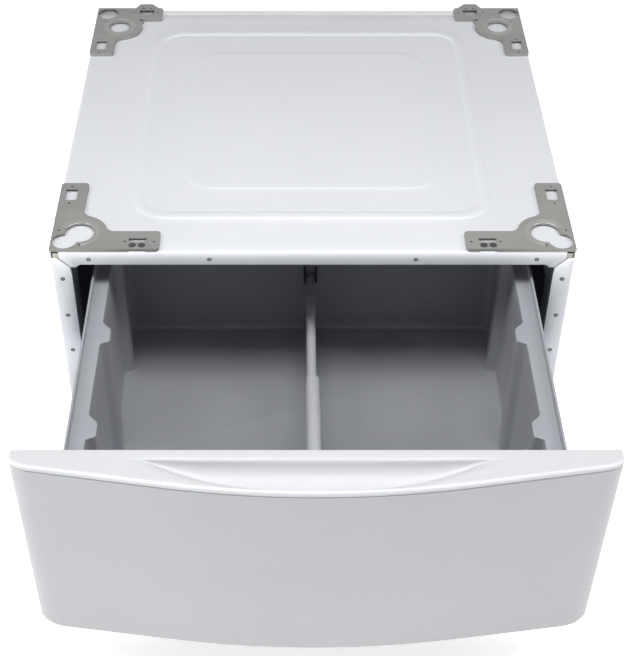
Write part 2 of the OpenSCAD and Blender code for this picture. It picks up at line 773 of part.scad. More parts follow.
pin_hole_r = 1.5;
corner_hole = [18, 17];
front_boss = [36, 35];
rear_boss = [40, 59];
window_w = 16;
window_l = 24.5;
window_x = 7.8;
window_end = 14;                       // from the arm's end to the window
slot_w = 23;
slot_l = 7;
slot_y = 15.5;
fixing_x = 108;                        // from the corner to the first fixing hole
fixing_y = 7;
fixing_ring = 2.4;                     // width and depth of the ring sunk round each hole
fixing_sink = 0.5;
fixing_pad_run = 3.5;                  // how far the raised pad passes the two rings
fixing_pad_h = 0.6;                    // height of the pad above the bracket
through = 4 * bracket_h;               // long enough to cut a bracket from any height
front_pins = [
    [15, side_arm_l - 8], [15, side_arm_l - 46], [8.4, 39.5], [38.5, 8], [front_arm_l - 45.5, 15.3],
    [front_arm_l - 7.5, 15]
];

// Raised eye-shaped pad round the two fixing holes, pressed up from below
module fixing_pad() {
    r = fixing_hole_r + fixing_ring + 0.6;
    reach = fixing_pitch / 2 + r + fixing_pad_run;
    intersection() {
        union() {
            for (i = [-1, 1]) translate([i * fixing_pitch / 2, 0]) circle(r);
            polygon([[-reach, 0], [-fixing_pitch / 2, -r], [fixing_pitch / 2, -r],
                     [reach, 0], [fixing_pitch / 2, r], [-fixing_pitch / 2, r]]);
        }
        rect(-reach, reach, bracket_t - fixing_y, r);
    }
}

// Corner at the origin, arms along +x and +y, drawn for the left side
module front_bracket() {
    slot_x = fixing_x + fixing_pitch / 2 - slot_w / 2;
    difference() {
        union() {
            bracket_shell(front_arm_l, front_arm_w, side_arm_l, side_arm_w, front_boss);
            translate([fixing_x + fixing_pitch / 2, fixing_y, bracket_h - eps])
                linear_extrude(fixing_pad_h + eps) fixing_pad();
        }
        translate(front_boss) dished_hole(front_hole_r);
        translate(corner_hole) cylinder(r = corner_hole_r, h = through, center = true);
        block([window_x, window_x + window_w],
              [side_arm_l - window_end - window_l, side_arm_l - window_end], [-1, bracket_h + 1]);
        block([slot_x, slot_x + slot_w], [slot_y, slot_y + slot_l], [-1, bracket_h + 1]);
        block([slot_x, slot_x + slot_w], [-1, bracket_t + 1], [-1, bracket_h - bracket_t]);
        for (i = [0, 1]) translate([fixing_x + i * fixing_pitch, fixing_y]) {
            cylinder(r = fixing_hole_r, h = through, center = true);
            translate([0, 0, bracket_h - fixing_sink])
                cylinder(r = fixing_hole_r + fixing_ring, h = 2 * fixing_pad_h);
        }
        for (p = front_pins) translate(p) cylinder(r = pin_hole_r, h = through, center = true);
    }
}

tab_x = 61;                            // from the corner to the rear tab's root
tab_root = 38;
tab_end = 19.5;
tab_slope = 7;
tab_hole_x = 79.5;                     // middle of the tab's two holes
tab_hole_r = 2;
rear_slot_x = 68.5;
rear_slot_y = 6;
rear_slot_l = 16.5;
rear_window_y = 104.5;
rear_pins = [[59, -14.5], [rear_arm_l - 8, -14.5], [16.5, -44.5], [14.5, -99.5], [15, -138]];

module rear_tab() polygon([
    [tab_x, -bracket_t], [tab_x, 0], [tab_x + tab_slope, tab_out],
    [tab_x + tab_slope + tab_end, tab_out], [tab_x + tab_root, 0], [tab_x + tab_root, -bracket_t]
]);

// Corner at the origin, arms along +x and -y
module rear_bracket() {
    difference() {
        union() {
            mirror([0, 1, 0])
                bracket_shell(rear_arm_l, side_arm_w - 1, side_arm_l - 1.5, side_arm_w, rear_boss);
            translate([0, 0, bracket_h - bracket_t]) linear_extrude(bracket_t) rear_tab();
        }
        translate([rear_boss.x, -rear_boss.y]) dished_hole(rear_hole_r);
        translate([corner_hole.x, -corner_hole.y - 1])
            cylinder(r = corner_hole_r, h = through, center = true);
        block([window_x, window_x + window_w],
              [-rear_window_y - window_l, -rear_window_y], [-1, bracket_h + 1]);
        block([rear_slot_x, rear_slot_x + slot_w],
              [-rear_slot_y - rear_slot_l, -rear_slot_y], [-1, bracket_h + 1]);
        for (i = [0, 1]) translate([tab_hole_x + (i - 0.5) * fixing_pitch, -bracket_t])
            cylinder(r = tab_hole_r, h = through, center = true);
        for (p = rear_pins) translate(p) cylinder(r = pin_hole_r, h = through, center = true);
    }
}

module left_front_seat() color(bracket_grey) from_front() translate([-half_w, 0, deck_z])
    children();
module left_rear_seat() color(bracket_grey) from_front() translate([-half_w, cabinet_d, deck_z])
    children();
module front_left_bracket() left_front_seat() front_bracket();
module front_right_bracket() mirror([1, 0, 0]) left_front_seat() front_bracket();
module rear_left_bracket() left_rear_seat() rear_bracket();
module rear_right_bracket() mirror([1, 0, 0]) left_rear_seat() rear_bracket();

// ---------------------------------------------------------------- drawer front

front_top = below(front_drop);
front_bottom = front_top - front_h;
groove_z = front_top - cap_h;
panel_z = groove_z - groove_h;

// Plan of the bowed front: a round middle, straight ends and round upright edges.
// The back lies on y = 0 and the bow stands out towards -y; inset shrinks the sides.
function bow_outline(half, mid, bow_r, inset) =
    let (
        slope = bow_half / bow_r,
        turn = atan(edge_d / (edge_run * slope)),
        middle_x = half - edge_run,
        flank_y = mid - bow_half * slope / 2,
        meet_x = middle_x + edge_run * cos(turn),
        middle_y = max(flank_y - (meet_x - bow_half) * slope - edge_d * sin(turn), 0.2),
        round_points = [for (i = [0:8]) let (a = turn * i / 8)
            [middle_x + (edge_run - inset) * cos(a), middle_y + (edge_d - inset) * sin(a)]],
        bow_points = [for (i = [5:-1:0]) let (x = bow_half * i / 5)
            [x, mid - inset - x * x / (2 * bow_r)]],
        all = concat([[half - inset, 0]], round_points, bow_points)
    ) [for (p = mirrored(all)) [p.x, -p.y]];

module bow_slab(z, half, mid, bow_r, inset) translate([0, 0, z])
    linear_extrude(eps) polygon(bow_outline(half, mid, bow_r, inset));

// Round bottom corners: the slabs get narrower towards the bottom. Only the outer body, whose
// inset is 0, has its top and bottom edges broken.
module panel_body(inset, top, bottom) {
    steps = 5;
    r = bottom_corner_r - inset;
    broken = inset == 0 ? 1 : 0;
    hull() {
        bow_slab(top - eps, half_w, bow_top, bow_top_r, inset + broken * top_edge_r);
        bow_slab(top - top_edge_r, half_w, bow_top, bow_top_r, inset);
        for (i = [0:steps]) {
            a = 90 * i / steps;
            bow_slab(bottom + r * (1 - sin(a)), half_w - r * (1 - cos(a)),
                     bow_bottom - broken * bottom_edge_r * pow(i / steps, 3), bow_bottom_r, inset);
        }
    }
}

top_edge_r = 1.2;                      // breaks of the front's top and bottom edges
bottom_edge_r = 3;
cap_seat = 6.5;                        // width of the ledge that the cap sits on
boss_xs = [-290, 0, 290];
boss_drops = [70, 250];

module drawer_front() {
    color(white_paint) from_drawer() {
        difference() {
            union() {
                panel_body(0, panel_z, front_bottom);
                translate([0, 0, panel_z - 1]) linear_extrude(groove_h + 1)
                    polygon(bow_outline(half_w, bow_top, bow_top_r, groove_d));
            }
            translate([0, 1, 0])
                panel_body(front_wall, panel_z - front_wall + 1, front_bottom + front_wall);
            translate([0, 0, panel_z - front_wall - 1]) linear_extrude(front_wall + groove_h + 2)
                polygon(bow_outline(half_w, bow_top, bow_top_r, cap_seat));
        }
        difference() {
            intersection() {
                boss_places() cylinder(r = boss_out_r, h = bow_top);
                panel_body(front_wall / 2, panel_z, front_bottom);
            }
            boss_places() translate([0, 0, -1]) cylinder(r = screw_core_r, h = boss_bore + 1);
        }
    }
}

// Bosses that take the screws through the stiffener, reaching back from the face
boss_out_r = 6;
boss_bore = 12;
screw_core_r = 1.7;
stiffener_y = -frame_t;
module boss_places() for (x = boss_xs, h = boss_drops) translate([x, stiffener_y, below(h)])
    rotate([90, 0, 0]) children();

// Plan of the finger scoop: straight at the back, bowed at the front
scoop_back = 15;                       // from the back of the front to the scoop
scoop_tip = 0.94;                      // share of the half width where the bow meets the back
scoop_power = 2.6;                     // how square the bow's ends are
function scoop_outline(half, back, front) = concat(
    [[-half, -back], [half, -back]],
    [for (i = [0:10]) let (u = 1 - i / 5)
        [half * scoop_tip * u, -back - (front - back) * (1 - pow(abs(u), scoop_power))]]
);

scoop_lip = 6;                         // width of the lip in front of the scoop
scoop_end = 60;                        // run of the scoop's sloping ends
scoop_wall_run = 20;                   // run of its steep rear wall
scoop_rise = 19;                       // run of the floor's gentle rise to the lip

// The floor falls steeply from the back, then turns up gently to the lip and the ends
module scoop_body(grow) hull() for (i = [0:6]) {
    fall = sin(15 * i);
    bulge = 1 - cos(15 * i);
    translate([0, 0, front_top - scoop_h * fall - grow]) linear_extrude(i == 0 ? 1 : eps)
        polygon(scoop_outline(scoop_half - scoop_end * (0.6 * fall + 0.4 * bulge) + grow,
                              scoop_back + scoop_wall_run * bulge - grow,
                              bow_top - scoop_lip - scoop_rise * (fall + bulge) / 2 + grow));
}

// The cap's top rolls over to its face along a quarter of an ellipse
cap_roll_w = 5;
cap_roll_h = 5;
module front_cap() {
    color(white_paint) from_drawer() difference() {
        union() {
            difference() {
                hull() {
                    for (a = [0, 30, 60])
                        bow_slab(front_top - eps - cap_roll_h * (1 - cos(a)), half_w, bow_top,
                                 bow_top_r, cap_roll_w * (1 - sin(a)));
                    bow_slab(groove_z, half_w, bow_top, bow_top_r, 0);
                }
                translate([0, 0, groove_z - 1]) linear_extrude(cap_h - front_wall + 1) intersection() {
                    polygon(bow_outline(half_w, bow_top, bow_top_r, front_wall + groove_d));
                    rect(-half_w, half_w, -bow_top, -front_wall);
                }
            }
            intersection() {
                scoop_body(front_wall);
                block([-half_w, half_w], [-bow_top, -front_wall], [0, front_top - 1]);
            }
        }
        scoop_body(0);
    }
}

// Steel pan that closes the back of the plastic front and carries the tub rails
stiffener_half = half_w - front_wall - 1;
stiffener_top = 24;                    // drop from the deck to the pan's top
stiffener_edge = 9;                    // depth of its folded top and bottom edges
pan_window_xs = [95, 195];
pan_window_w = 60;
pan_window_h = 110;
pan_window_r = 12;
module front_stiffener() {
    low = front_bottom + bottom_corner_r;
    high = below(stiffener_top);
    edge_half = stiffener_half - edge_run;
    color(galvanised) from_drawer() difference() {
        union() {
            block([-stiffener_half, stiffener_half], [stiffener_y, 0], [low, high]);
            for (z = [low, high - frame_t])
                block([-edge_half, edge_half], [-stiffener_edge, 0], [z, z + frame_t]);
        }
        stiffener_screw_places() cylinder(r = screw_r, h = 6 * frame_t, center = true);
        sides() for (x = pan_window_xs) translate([x, 0, (high + low) / 2]) rotate([90, 0, 0])
            linear_extrude(8 * frame_t, center = true)
                round_rect(pan_window_w, pan_window_h, pan_window_r);
    }
}

module stiffener_screw_places() for (x = boss_xs, h = boss_drops) translate([x, 0, below(h)])
    rotate([-90, 0, 0]) children();
module stiffener_screws() {
    color(zinc) from_drawer() stiffener_screw_places()
        pan_screw(screw_core_r - fit, boss_bore - 1, flat_head);
}

bumper_x = half_w - side_flange_w / 2;
bumper_r = 5;
bumper_round = 0.3 * bumper_r;
bumper_h = closed_gap - seat;
bumper_drops = [30, 290];
module closing_bumpers() {
    color(rubber_black) from_drawer() sides() for (h = bumper_drops)
        translate([bumper_x, 0, below(h)]) rotate([-90, 0, 0]) rotate_extrude() polygon(concat(
            [[0, 0], [bumper_r, 0]],
            circle_points(bumper_round, 0, 90, 4, [bumper_r - bumper_round, bumper_h - bumper_round]),
            [[0, bumper_h]]
        ));
}

// ---------------------------------------------------------------- tub

rim_z = below(rim_drop);
ledge_z = rim_z - rim_h;
floor_z = ledge_z - tub_h;
tub_half = opening_half - rim_side_gap - rim_t - ledge_w;
tub_w = 2 * tub_half;
tub_front = front_wall + 7;            // inside of the tub's front wall
tub_back = tub_front + tub_l;
rim_half = tub_half + ledge_w + rim_t;
rim_back = tub_back + ledge_w + rim_t;
rim_r = 6;
rim_mid_y = (tub_front_gap + rim_back) / 2;
rim_l = rim_back - tub_front_gap;

// Outline of one pressed rib on the right wall; grow follows the wall's outer face
function smooth(u) = u * u * (3 - 2 * u);
function rib_outline(grow) = let (
        flat = rib_flat - grow,
        steps = 5
    ) concat(
        [[tub_half + grow + 1, -flat / 2 - rib_front + grow / 2]],
        [for (i = [0:steps]) let (u = i / steps)
            [tub_half + grow - rib_in * smooth(u), -flat / 2 - (rib_front - grow / 2) * (1 - u)]],
        [for (i = [0:steps]) let (u = 1 - i / steps)
            [tub_half + grow - rib_in * smooth(u), flat / 2 + (rib_rear - grow / 2) * (1 - u)]],
        [[tub_half + grow + 1, flat / 2 + rib_rear - grow / 2]]
    );

function rib_y(i) = tub_front + rib_first + i * rib_pitch;
module tub_plan(grow) {
    difference() {
        translate([0, tub_front + tub_l / 2])
            round_rect(tub_w + 2 * grow, tub_l + 2 * grow, tub_r + grow);
        for (i = [0:rib_count - 1], s = [0, 1]) translate([0, rib_y(i)])
            mirror([s, 0]) polygon(rib_outline(grow));
    }
}

shelf_drop = 150;                      // the tub hangs on its rails by this shelf
shelf_z = below(shelf_drop);
shelf_half = slide_inner_x - frame_t - 2;
shelf_end = 15;                        // from the tub's corners to the shelf
shelf_rib_t = 2;
shelf_rib_h = 22;
guide_t = 2;
guide_in = 8;
guide_drop = 12;                       // from the divider's top down to the guides' tops

module divider_guides() {
    for (front = [0, 1]) {
        gap = (front ? divider_front_t : divider_t) / 2 + seat;
        h = (front ? divider_step_h : divider_rear_h) - guide_drop;
        y = front ? tub_front - 1 : tub_back - guide_in;
        sides() translate([gap, y, floor_z - 1]) cube([guide_t, guide_in + 1, h]);
    }
}

// Shelf along each side wall, with small ribs that brace it between the wall's ribs
module tub_shelves() sides() {
    block([tub_half, shelf_half], [tub_front + shelf_end, tub_back - shelf_end],
          [shelf_z, shelf_z + tub_wall]);
    for (i = [1:rib_count - 1]) translate([0, rib_y(i - 0.5), 0])
        block([tub_half, shelf_half - 2], [0, shelf_rib_t], [shelf_z, shelf_z + shelf_rib_h]);
}

module drawer_tub() {
    color(tub_grey) from_drawer() {
        difference() {
            union() {
                along_z(floor_z - tub_wall, ledge_z) tub_plan(tub_wall);
                translate([0, rim_mid_y, ledge_z - tub_wall]) linear_extrude(tub_wall + rim_h)
                    round_rect(2 * rim_half, rim_l, rim_r);
                tub_shelves();
            }
            translate([0, rim_mid_y, ledge_z]) linear_extrude(rim_h + 1)
                round_rect(2 * (rim_half - rim_t), rim_l - 2 * rim_t, rim_r - rim_t);
            along_z(floor_z, rim_z) tub_plan(0);
            tub_screw_places() cylinder(r = screw_r, h = 4 * tub_wall, center = true);
        }
        divider_guides();
    }
}

// Z-section rail: the web carries the slide, its top leg carries the tub's shelf, and a plate
// at its front end is spot-welded to the pan behind the drawer front
rail_l = tub_l - 20;
rail_low = slide_z - drawer_member_h / 2 - 6;
rail_leg_front = tub_front + shelf_end - 1;      // where the two legs start
rail_low_leg = 12;
rail_gap_in = 1;                       // from the tub's wall to the top leg
plate_gap_in = 3;                      // from the tub's wall to the front plate
module tub_rail() from_drawer() difference() {
    union() {
        block([slide_inner_x - frame_t, slide_inner_x], [0, rail_l], [rail_low, shelf_z]);
        block([tub_half + tub_wall + rail_gap_in, slide_inner_x], [rail_leg_front, rail_l],
              [shelf_z - frame_t, shelf_z]);
        block([slide_inner_x - rail_low_leg, slide_inner_x], [rail_leg_front, rail_l],
              [rail_low, rail_low + frame_t]);
        block([tub_half + tub_wall + plate_gap_in, slide_inner_x], [0, frame_t], [rail_low, shelf_z]);
    }
    translate([0, drawer_out, 0]) drawer_slide_screw_places()
        cylinder(r = screw_r, h = 8 * frame_t, center = true);
    tub_screw_places() cylinder(r = screw_r, h = 4 * tub_wall, center = true);
}
module left_tub_rail() color(galvanised) mirror([1, 0, 0]) tub_rail();
module right_tub_rail() color(galvanised) tub_rail();

tub_screw_ys = [60, tub_l / 2, tub_l - 50];
tub_screw_x = (tub_half + tub_wall + shelf_half) / 2 + 1.5;
module tub_screw_places() sides() for (y = tub_screw_ys)
    translate([tub_screw_x, y, shelf_z + tub_wall]) children();
module tub_screws() {
    color(zinc) from_drawer() tub_screw_places()
        pan_screw(screw_r, tub_wall + frame_t + screw_tail, screw_head);
}

// ---------------------------------------------------------------- divider

// Cross section of the hollow divider with a full round along its top, seen end on
module divider_section(half, h, inset) {
    rect(-half + inset, half - inset, -1, h - half);
    translate([0, h - half]) circle(half - inset);
}

divider_l = tub_l - 2 * seat;
step_run = 6;                          // run of the step, and half the run of its widening
module divider_body(inset) {
    rear = divider_t / 2;
    front = divider_front_t / 2;
    difference() {
        union() {
            along_y(-divider_step, -inset) divider_section(rear, divider_rear_h, inset);
            hull() {
                divider_slab(-divider_step, rear, divider_rear_h, inset);
                divider_slab(-divider_step - step_run + inset, front, divider_step_h, inset);
            }
            hull() {
                divider_slab(-divider_step - step_run + inset, front, divider_step_h, inset);
                divider_slab(-divider_l + inset, front, divider_front_h, inset);
            }
        }
        translate([-divider_front_t, -tub_l - 1, -2]) cube([2 * divider_front_t, tub_l + 2, 2]);
    }
}

module divider_slab(y, half, h, inset) along_y(y - eps, y) divider_section(half, h, inset, $fn = 32);

module divider() {
    color(divider_grey) from_drawer() translate([0, tub_back - seat, floor_z + seat]) difference() {
        divider_body(0);
        translate([0, 0, -eps]) divider_body(divider_wall);
    }
}

// ---------------------------------------------------------------- feet

// The pad stands still on the floor while the stud turns in it
journal_r = 6;
journal_z = 3;
pad_skirt = 4;                         // height of the pad's straight side
pad_collar = 5;                        // width of the collar round the journal
edge_break = 1;                        // broken edges of the pad, the hexagon and the thread
module foot_pad(x, y) translate([x, y, 0]) color(rubber_black) difference() {
    rotate_extrude() polygon([
        [0, 0], [pad_r - edge_break, 0], [pad_r, edge_break], [pad_r, pad_skirt],
        [journal_r + pad_collar, pad_h - edge_break],
        [journal_r + pad_collar - edge_break, pad_h], [0, pad_h]
    ]);
    translate([0, 0, journal_z]) cylinder(r = journal_r + fit, h = pad_h);
}

module foot_stud(x, y) translate([x, y, 0]) color(zinc) {
    translate([0, 0, journal_z + fit]) cylinder(r = journal_r, h = pad_h - journal_z);
    translate([0, 0, pad_h + fit]) intersection() {
        cylinder(r = hex_r, h = stud_hex_h, $fn = 6);
        rotate_extrude() polygon([
            [0, 0], [stud_flats / 2, 0], [hex_r, edge_break], [hex_r, stud_hex_h - edge_break],
            [stud_flats / 2, stud_hex_h], [0, stud_hex_h]
        ]);
    }
    translate([0, 0, pad_h + stud_hex_h]) {
        cylinder(r = stud_r, h = stud_l - edge_break);
        translate([0, 0, stud_l - edge_break])
            cylinder(r1 = stud_r, r2 = stud_r - edge_break, h = edge_break);
    }
}
hex_r = stud_flats / sqrt(3);          // radius over the corners of the stud's hexagon

foot_front_y = cabinet_y + foot_end;
foot_rear_y = cabinet_y + cabinet_d - foot_end;
module front_left_pad() foot_pad(-foot_x, foot_front_y);
module front_right_pad() foot_pad(foot_x, foot_front_y);
module rear_left_pad() foot_pad(-foot_x, foot_rear_y);
module rear_right_pad() foot_pad(foot_x, foot_rear_y);
module front_left_stud() foot_stud(-foot_x, foot_front_y);
module front_right_stud() foot_stud(foot_x, foot_front_y);
module rear_left_stud() foot_stud(-foot_x, foot_rear_y);
module rear_right_stud() foot_stud(foot_x, foot_rear_y);

cabinet_wrap();
back_panel();
left_front_post();
right_front_post();
left_rear_post();
right_rear_post();
front_header();
front_deck_beam();
middle_deck_beam();
rear_deck_beam();
front_base_rail();
rear_base_rail();
left_base_rail();
right_base_rail();
corner_gussets();
weld_nuts();
left_slide_support();
right_slide_support();
left_cabinet_slide();
right_cabinet_slide();
front_left_bracket();
front_right_bracket();
rear_left_bracket();
rear_right_bracket();
flange_rivets();
back_screws();
support_screws();
drawer_front();
front_cap();
front_stiffener();
stiffener_screws();
closing_bumpers();
drawer_tub();
left_tub_rail();
right_tub_rail();
tub_screws();
left_drawer_slide();
right_drawer_slide();
slide_screws();
left_ball_cage();
right_ball_cage();
left_balls();
right_balls();
divider();
front_left_pad();
front_right_pad();
rear_left_pad();
rear_right_pad();
front_left_stud();
front_right_stud();
rear_left_stud();
rear_right_stud();
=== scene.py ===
import math

import bmesh
import bpy
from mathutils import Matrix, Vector, kdtree


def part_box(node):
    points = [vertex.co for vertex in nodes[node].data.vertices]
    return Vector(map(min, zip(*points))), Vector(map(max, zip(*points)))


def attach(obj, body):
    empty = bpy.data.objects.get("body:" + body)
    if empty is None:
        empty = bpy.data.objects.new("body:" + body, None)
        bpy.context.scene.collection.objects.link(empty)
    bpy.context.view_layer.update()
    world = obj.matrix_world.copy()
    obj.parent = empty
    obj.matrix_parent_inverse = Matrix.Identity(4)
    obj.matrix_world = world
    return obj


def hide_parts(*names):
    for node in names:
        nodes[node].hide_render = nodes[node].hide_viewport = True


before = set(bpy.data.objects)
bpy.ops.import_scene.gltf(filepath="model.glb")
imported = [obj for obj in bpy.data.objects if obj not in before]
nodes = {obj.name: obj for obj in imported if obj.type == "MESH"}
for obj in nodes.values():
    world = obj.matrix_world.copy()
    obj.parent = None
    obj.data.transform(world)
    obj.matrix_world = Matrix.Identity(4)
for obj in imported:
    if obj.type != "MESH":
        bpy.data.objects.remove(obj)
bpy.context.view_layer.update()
scene = bpy.context.scene

# ---------------------------------------------------------------- studio and camera
# The pedestal was photographed from above and in front on plain white paper, under wide soft
# lights. The paper is a floor plane; the camera keeps the photograph's frame and angle.
SENSOR_MM, LENS_MM, LENS_SHIFT_X = 36, 75.72, 0.0322
CAMERA_PLACE = (-0.0278, -1.5149, 1.5098)
CAMERA_DOWN_DEG = 42.06
CAMERA_REACH = 50

camera_data = bpy.data.cameras.new("studio_camera")
camera_data.sensor_width = SENSOR_MM
camera_data.lens = LENS_MM
camera_data.shift_x = LENS_SHIFT_X
camera_data.clip_end = CAMERA_REACH
camera = bpy.data.objects.new("studio_camera", camera_data)
camera.location = CAMERA_PLACE
camera.rotation_euler = (math.radians(90 - CAMERA_DOWN_DEG), 0, 0)
scene.collection.objects.link(camera)
scene.camera = camera
scene.view_settings.view_transform = "Standard"

PAPER_HALF = 30.0
PAPER_WHITE = (0.93, 0.935, 0.94, 1)
PAPER_BOUNCE = (0.45, 0.455, 0.46, 1)
PAPER_GLOW, PAPER_GLOW_IN_GLOSS = 0.62, 0.42
GLOW_STARTS, GLOW_FULL = 0.9, 2.2
BACKDROP_WHITE = (1, 1, 1, 1)
AIR_TINT, AIR_STRENGTH = (0.95, 0.97, 1.0, 1), 0.02


def add_node(tree, kind, values=None, **settings):
    """A shader node with the given values on its inputs and the given settings."""
    node = tree.nodes.new(kind)
    for setting, value in settings.items():
        setattr(node, setting, value)
    for socket, value in (values or {}).items():
        node.inputs[socket].default_value = value
    return node


def connect(tree, *pairs):
    """Links pairs of (output socket, input socket)."""
    for output, socket in pairs:
        tree.links.new(output, socket)


def seen_by(tree, *kinds):
    """A socket that is 1 for rays of the named kinds and 0 for all others."""
    ray = add_node(tree, "ShaderNodeLightPath")
    result = ray.outputs[kinds[0]]
    for kind in kinds[1:]:
        either = add_node(tree, "ShaderNodeMath", operation="MAXIMUM")
        connect(tree, (result, either.inputs[0]), (ray.outputs[kind], either.inputs[1]))
        result = either.outputs[0]
    return result


def paper_finish():
    """Paper that glows to the camera and in gloss, more so far away, and is matt to other rays."""
    material = bpy.data.materials.new("studio_paper")
    material.use_nodes = True
    tree = material.node_tree
    tree.nodes.clear()
    matt = add_node(tree, "ShaderNodeBsdfDiffuse", {"Color": PAPER_WHITE})
    bounce = add_node(tree, "ShaderNodeBsdfDiffuse", {"Color": PAPER_BOUNCE})
    glow = add_node(tree, "ShaderNodeEmission", {"Color": BACKDROP_WHITE})
    glowing = add_node(tree, "ShaderNodeAddShader")
    where = add_node(tree, "ShaderNodeTexCoord")
    reach = add_node(tree, "ShaderNodeVectorMath", operation="LENGTH")
    far = add_node(tree, "ShaderNodeMapRange", {"From Min": GLOW_STARTS, "From Max": GLOW_FULL,
                                                "To Min": PAPER_GLOW, "To Max": 1},
                   interpolation_type="SMOOTHSTEP")
    strength = add_node(tree, "ShaderNodeMapRange", {"To Min": PAPER_GLOW_IN_GLOSS})
    seen = add_node(tree, "ShaderNodeMixShader")
    out = add_node(tree, "ShaderNodeOutputMaterial")
    connect(tree, (where.outputs["Object"], reach.inputs[0]),
            (reach.outputs["Value"], far.inputs["Value"]),
            (far.outputs["Result"], strength.inputs["To Max"]),
            (seen_by(tree, "Is Camera Ray"), strength.inputs["Value"]),
            (strength.outputs["Result"], glow.inputs["Strength"]),
            (matt.outputs[0], glowing.inputs[0]),
            (glow.outputs[0], glowing.inputs[1]),
            (seen_by(tree, "Is Camera Ray", "Is Glossy Ray"), seen.inputs[0]),
            (bounce.outputs[0], seen.inputs[1]),
            (glowing.outputs[0], seen.inputs[2]),
            (seen.outputs[0], out.inputs[0]))
    return material


def studio_air():
    """Air that gives next to no light, but is white to the camera, in gloss and behind glass."""
    world = bpy.data.worlds.new("studio_air")
    world.use_nodes = True
    tree = world.node_tree
    tree.nodes.clear()
    air = add_node(tree, "ShaderNodeBackground", {"Color": AIR_TINT, "Strength": AIR_STRENGTH})
    white = add_node(tree, "ShaderNodeBackground", {"Color": BACKDROP_WHITE, "Strength": 1.0})
    seen = add_node(tree, "ShaderNodeMixShader")
    out = add_node(tree, "ShaderNodeOutputWorld")
    connect(tree, (seen_by(tree, "Is Camera Ray", "Is Glossy Ray", "Is Transmission Ray"), seen.inputs[0]),
            (air.outputs[0], seen.inputs[1]),
            (white.outputs[0], seen.inputs[2]),
            (seen.outputs[0], out.inputs[0]))
    return world


def softbox(name, place, aim, size, watts):
    """A wide studio light at place, turned to aim."""
    lamp = bpy.data.lights.new(name, "AREA")
    lamp.shape = "RECTANGLE"
    lamp.size, lamp.size_y = size
    lamp.energy = watts
    box = bpy.data.objects.new(name, lamp)
    box.location = place
    box.rotation_euler = (Vector(aim) - Vector(place)).to_track_quat("-Z", "Y").to_euler()
    scene.collection.objects.link(box)


sheet_of_paper = bmesh.new()
bmesh.ops.create_grid(sheet_of_paper, x_segments=2, y_segments=2, size=PAPER_HALF)
paper_data = bpy.data.meshes.new("studio_paper")
sheet_of_paper.to_mesh(paper_data)
sheet_of_paper.free()
paper_data.materials.append(paper_finish())
paper = bpy.data.objects.new("studio_paper", paper_data)
scene.collection.objects.link(paper)
scene.world = studio_air()

# Lights above the drawer and the deck, then low ones round the sides that stay below the deck
softbox("drawer_light", place=(0, -0.55, 1.75), aim=(0, -0.5, 0.3), size=(1.0, 0.4), watts=12.3)
softbox("overhead_light", place=(0, -1.2, 2.4), aim=(0, -0.2, 0.35), size=(2.0, 1.0), watts=3)
softbox("rear_light", place=(0, 0.9, 2.3), aim=(0, -0.2, 0.3), size=(2.0, 0.8), watts=3)
softbox("left_high_light", place=(-1.8, -0.6, 2.2), aim=(0, -0.3, 0.3), size=(0.8, 1.4), watts=24.5)
softbox("right_high_light", place=(1.8, -0.6, 2.2), aim=(0, -0.3, 0.3), size=(0.8, 1.4), watts=22)
softbox("left_low_light", place=(-2.6, -2.6, 0.5), aim=(0, -0.4, 0.22), size=(1.2, 0.8), watts=52)
softbox("right_low_light", place=(2.6, -2.6, 0.5), aim=(0, -0.4, 0.22), size=(1.2, 0.8), watts=29)
softbox("front_low_light", place=(0, -6.0, 0.7), aim=(0, -0.4, 0.25), size=(4.0, 1.0), watts=108)
softbox("left_side_light", place=(-4.2, -0.3, 0.22), aim=(0, 0, 0.2), size=(2.0, 0.38), watts=52)
softbox("right_side_light", place=(4.2, -0.3, 0.22), aim=(0, 0, 0.2), size=(2.0, 0.38), watts=42)
softbox("rear_low_light", place=(0, 4.6, 0.22), aim=(0, 0.4, 0.2), size=(3.0, 0.38), watts=60)

# ---------------------------------------------------------------- painted cabinet
# The cabinet is one cold-rolled sheet folded over the top and both sides, with flanges at the
# front. It is finished in white powder paint, which leaves a faint orange peel.
MM = 0.001
PAINT_LIGHT = (0.765, 0.78, 0.81, 1)
PAINT_SHADE = (0.745, 0.76, 0.79, 1)
TONE_STARTS, TONE_ENDS = 0.35, 0.65
COAT_ROUGH = 0.12


def object_pattern(tree, scale=(1, 1, 1)):
    """Object coordinates through a Mapping node, so that a pattern keeps its real size."""
    where = add_node(tree, "ShaderNodeTexCoord")
    mapping = add_node(tree, "ShaderNodeMapping", {"Scale": scale})
    connect(tree, (where.outputs["Object"], mapping.inputs["Vector"]))
    return mapping.outputs["Vector"]


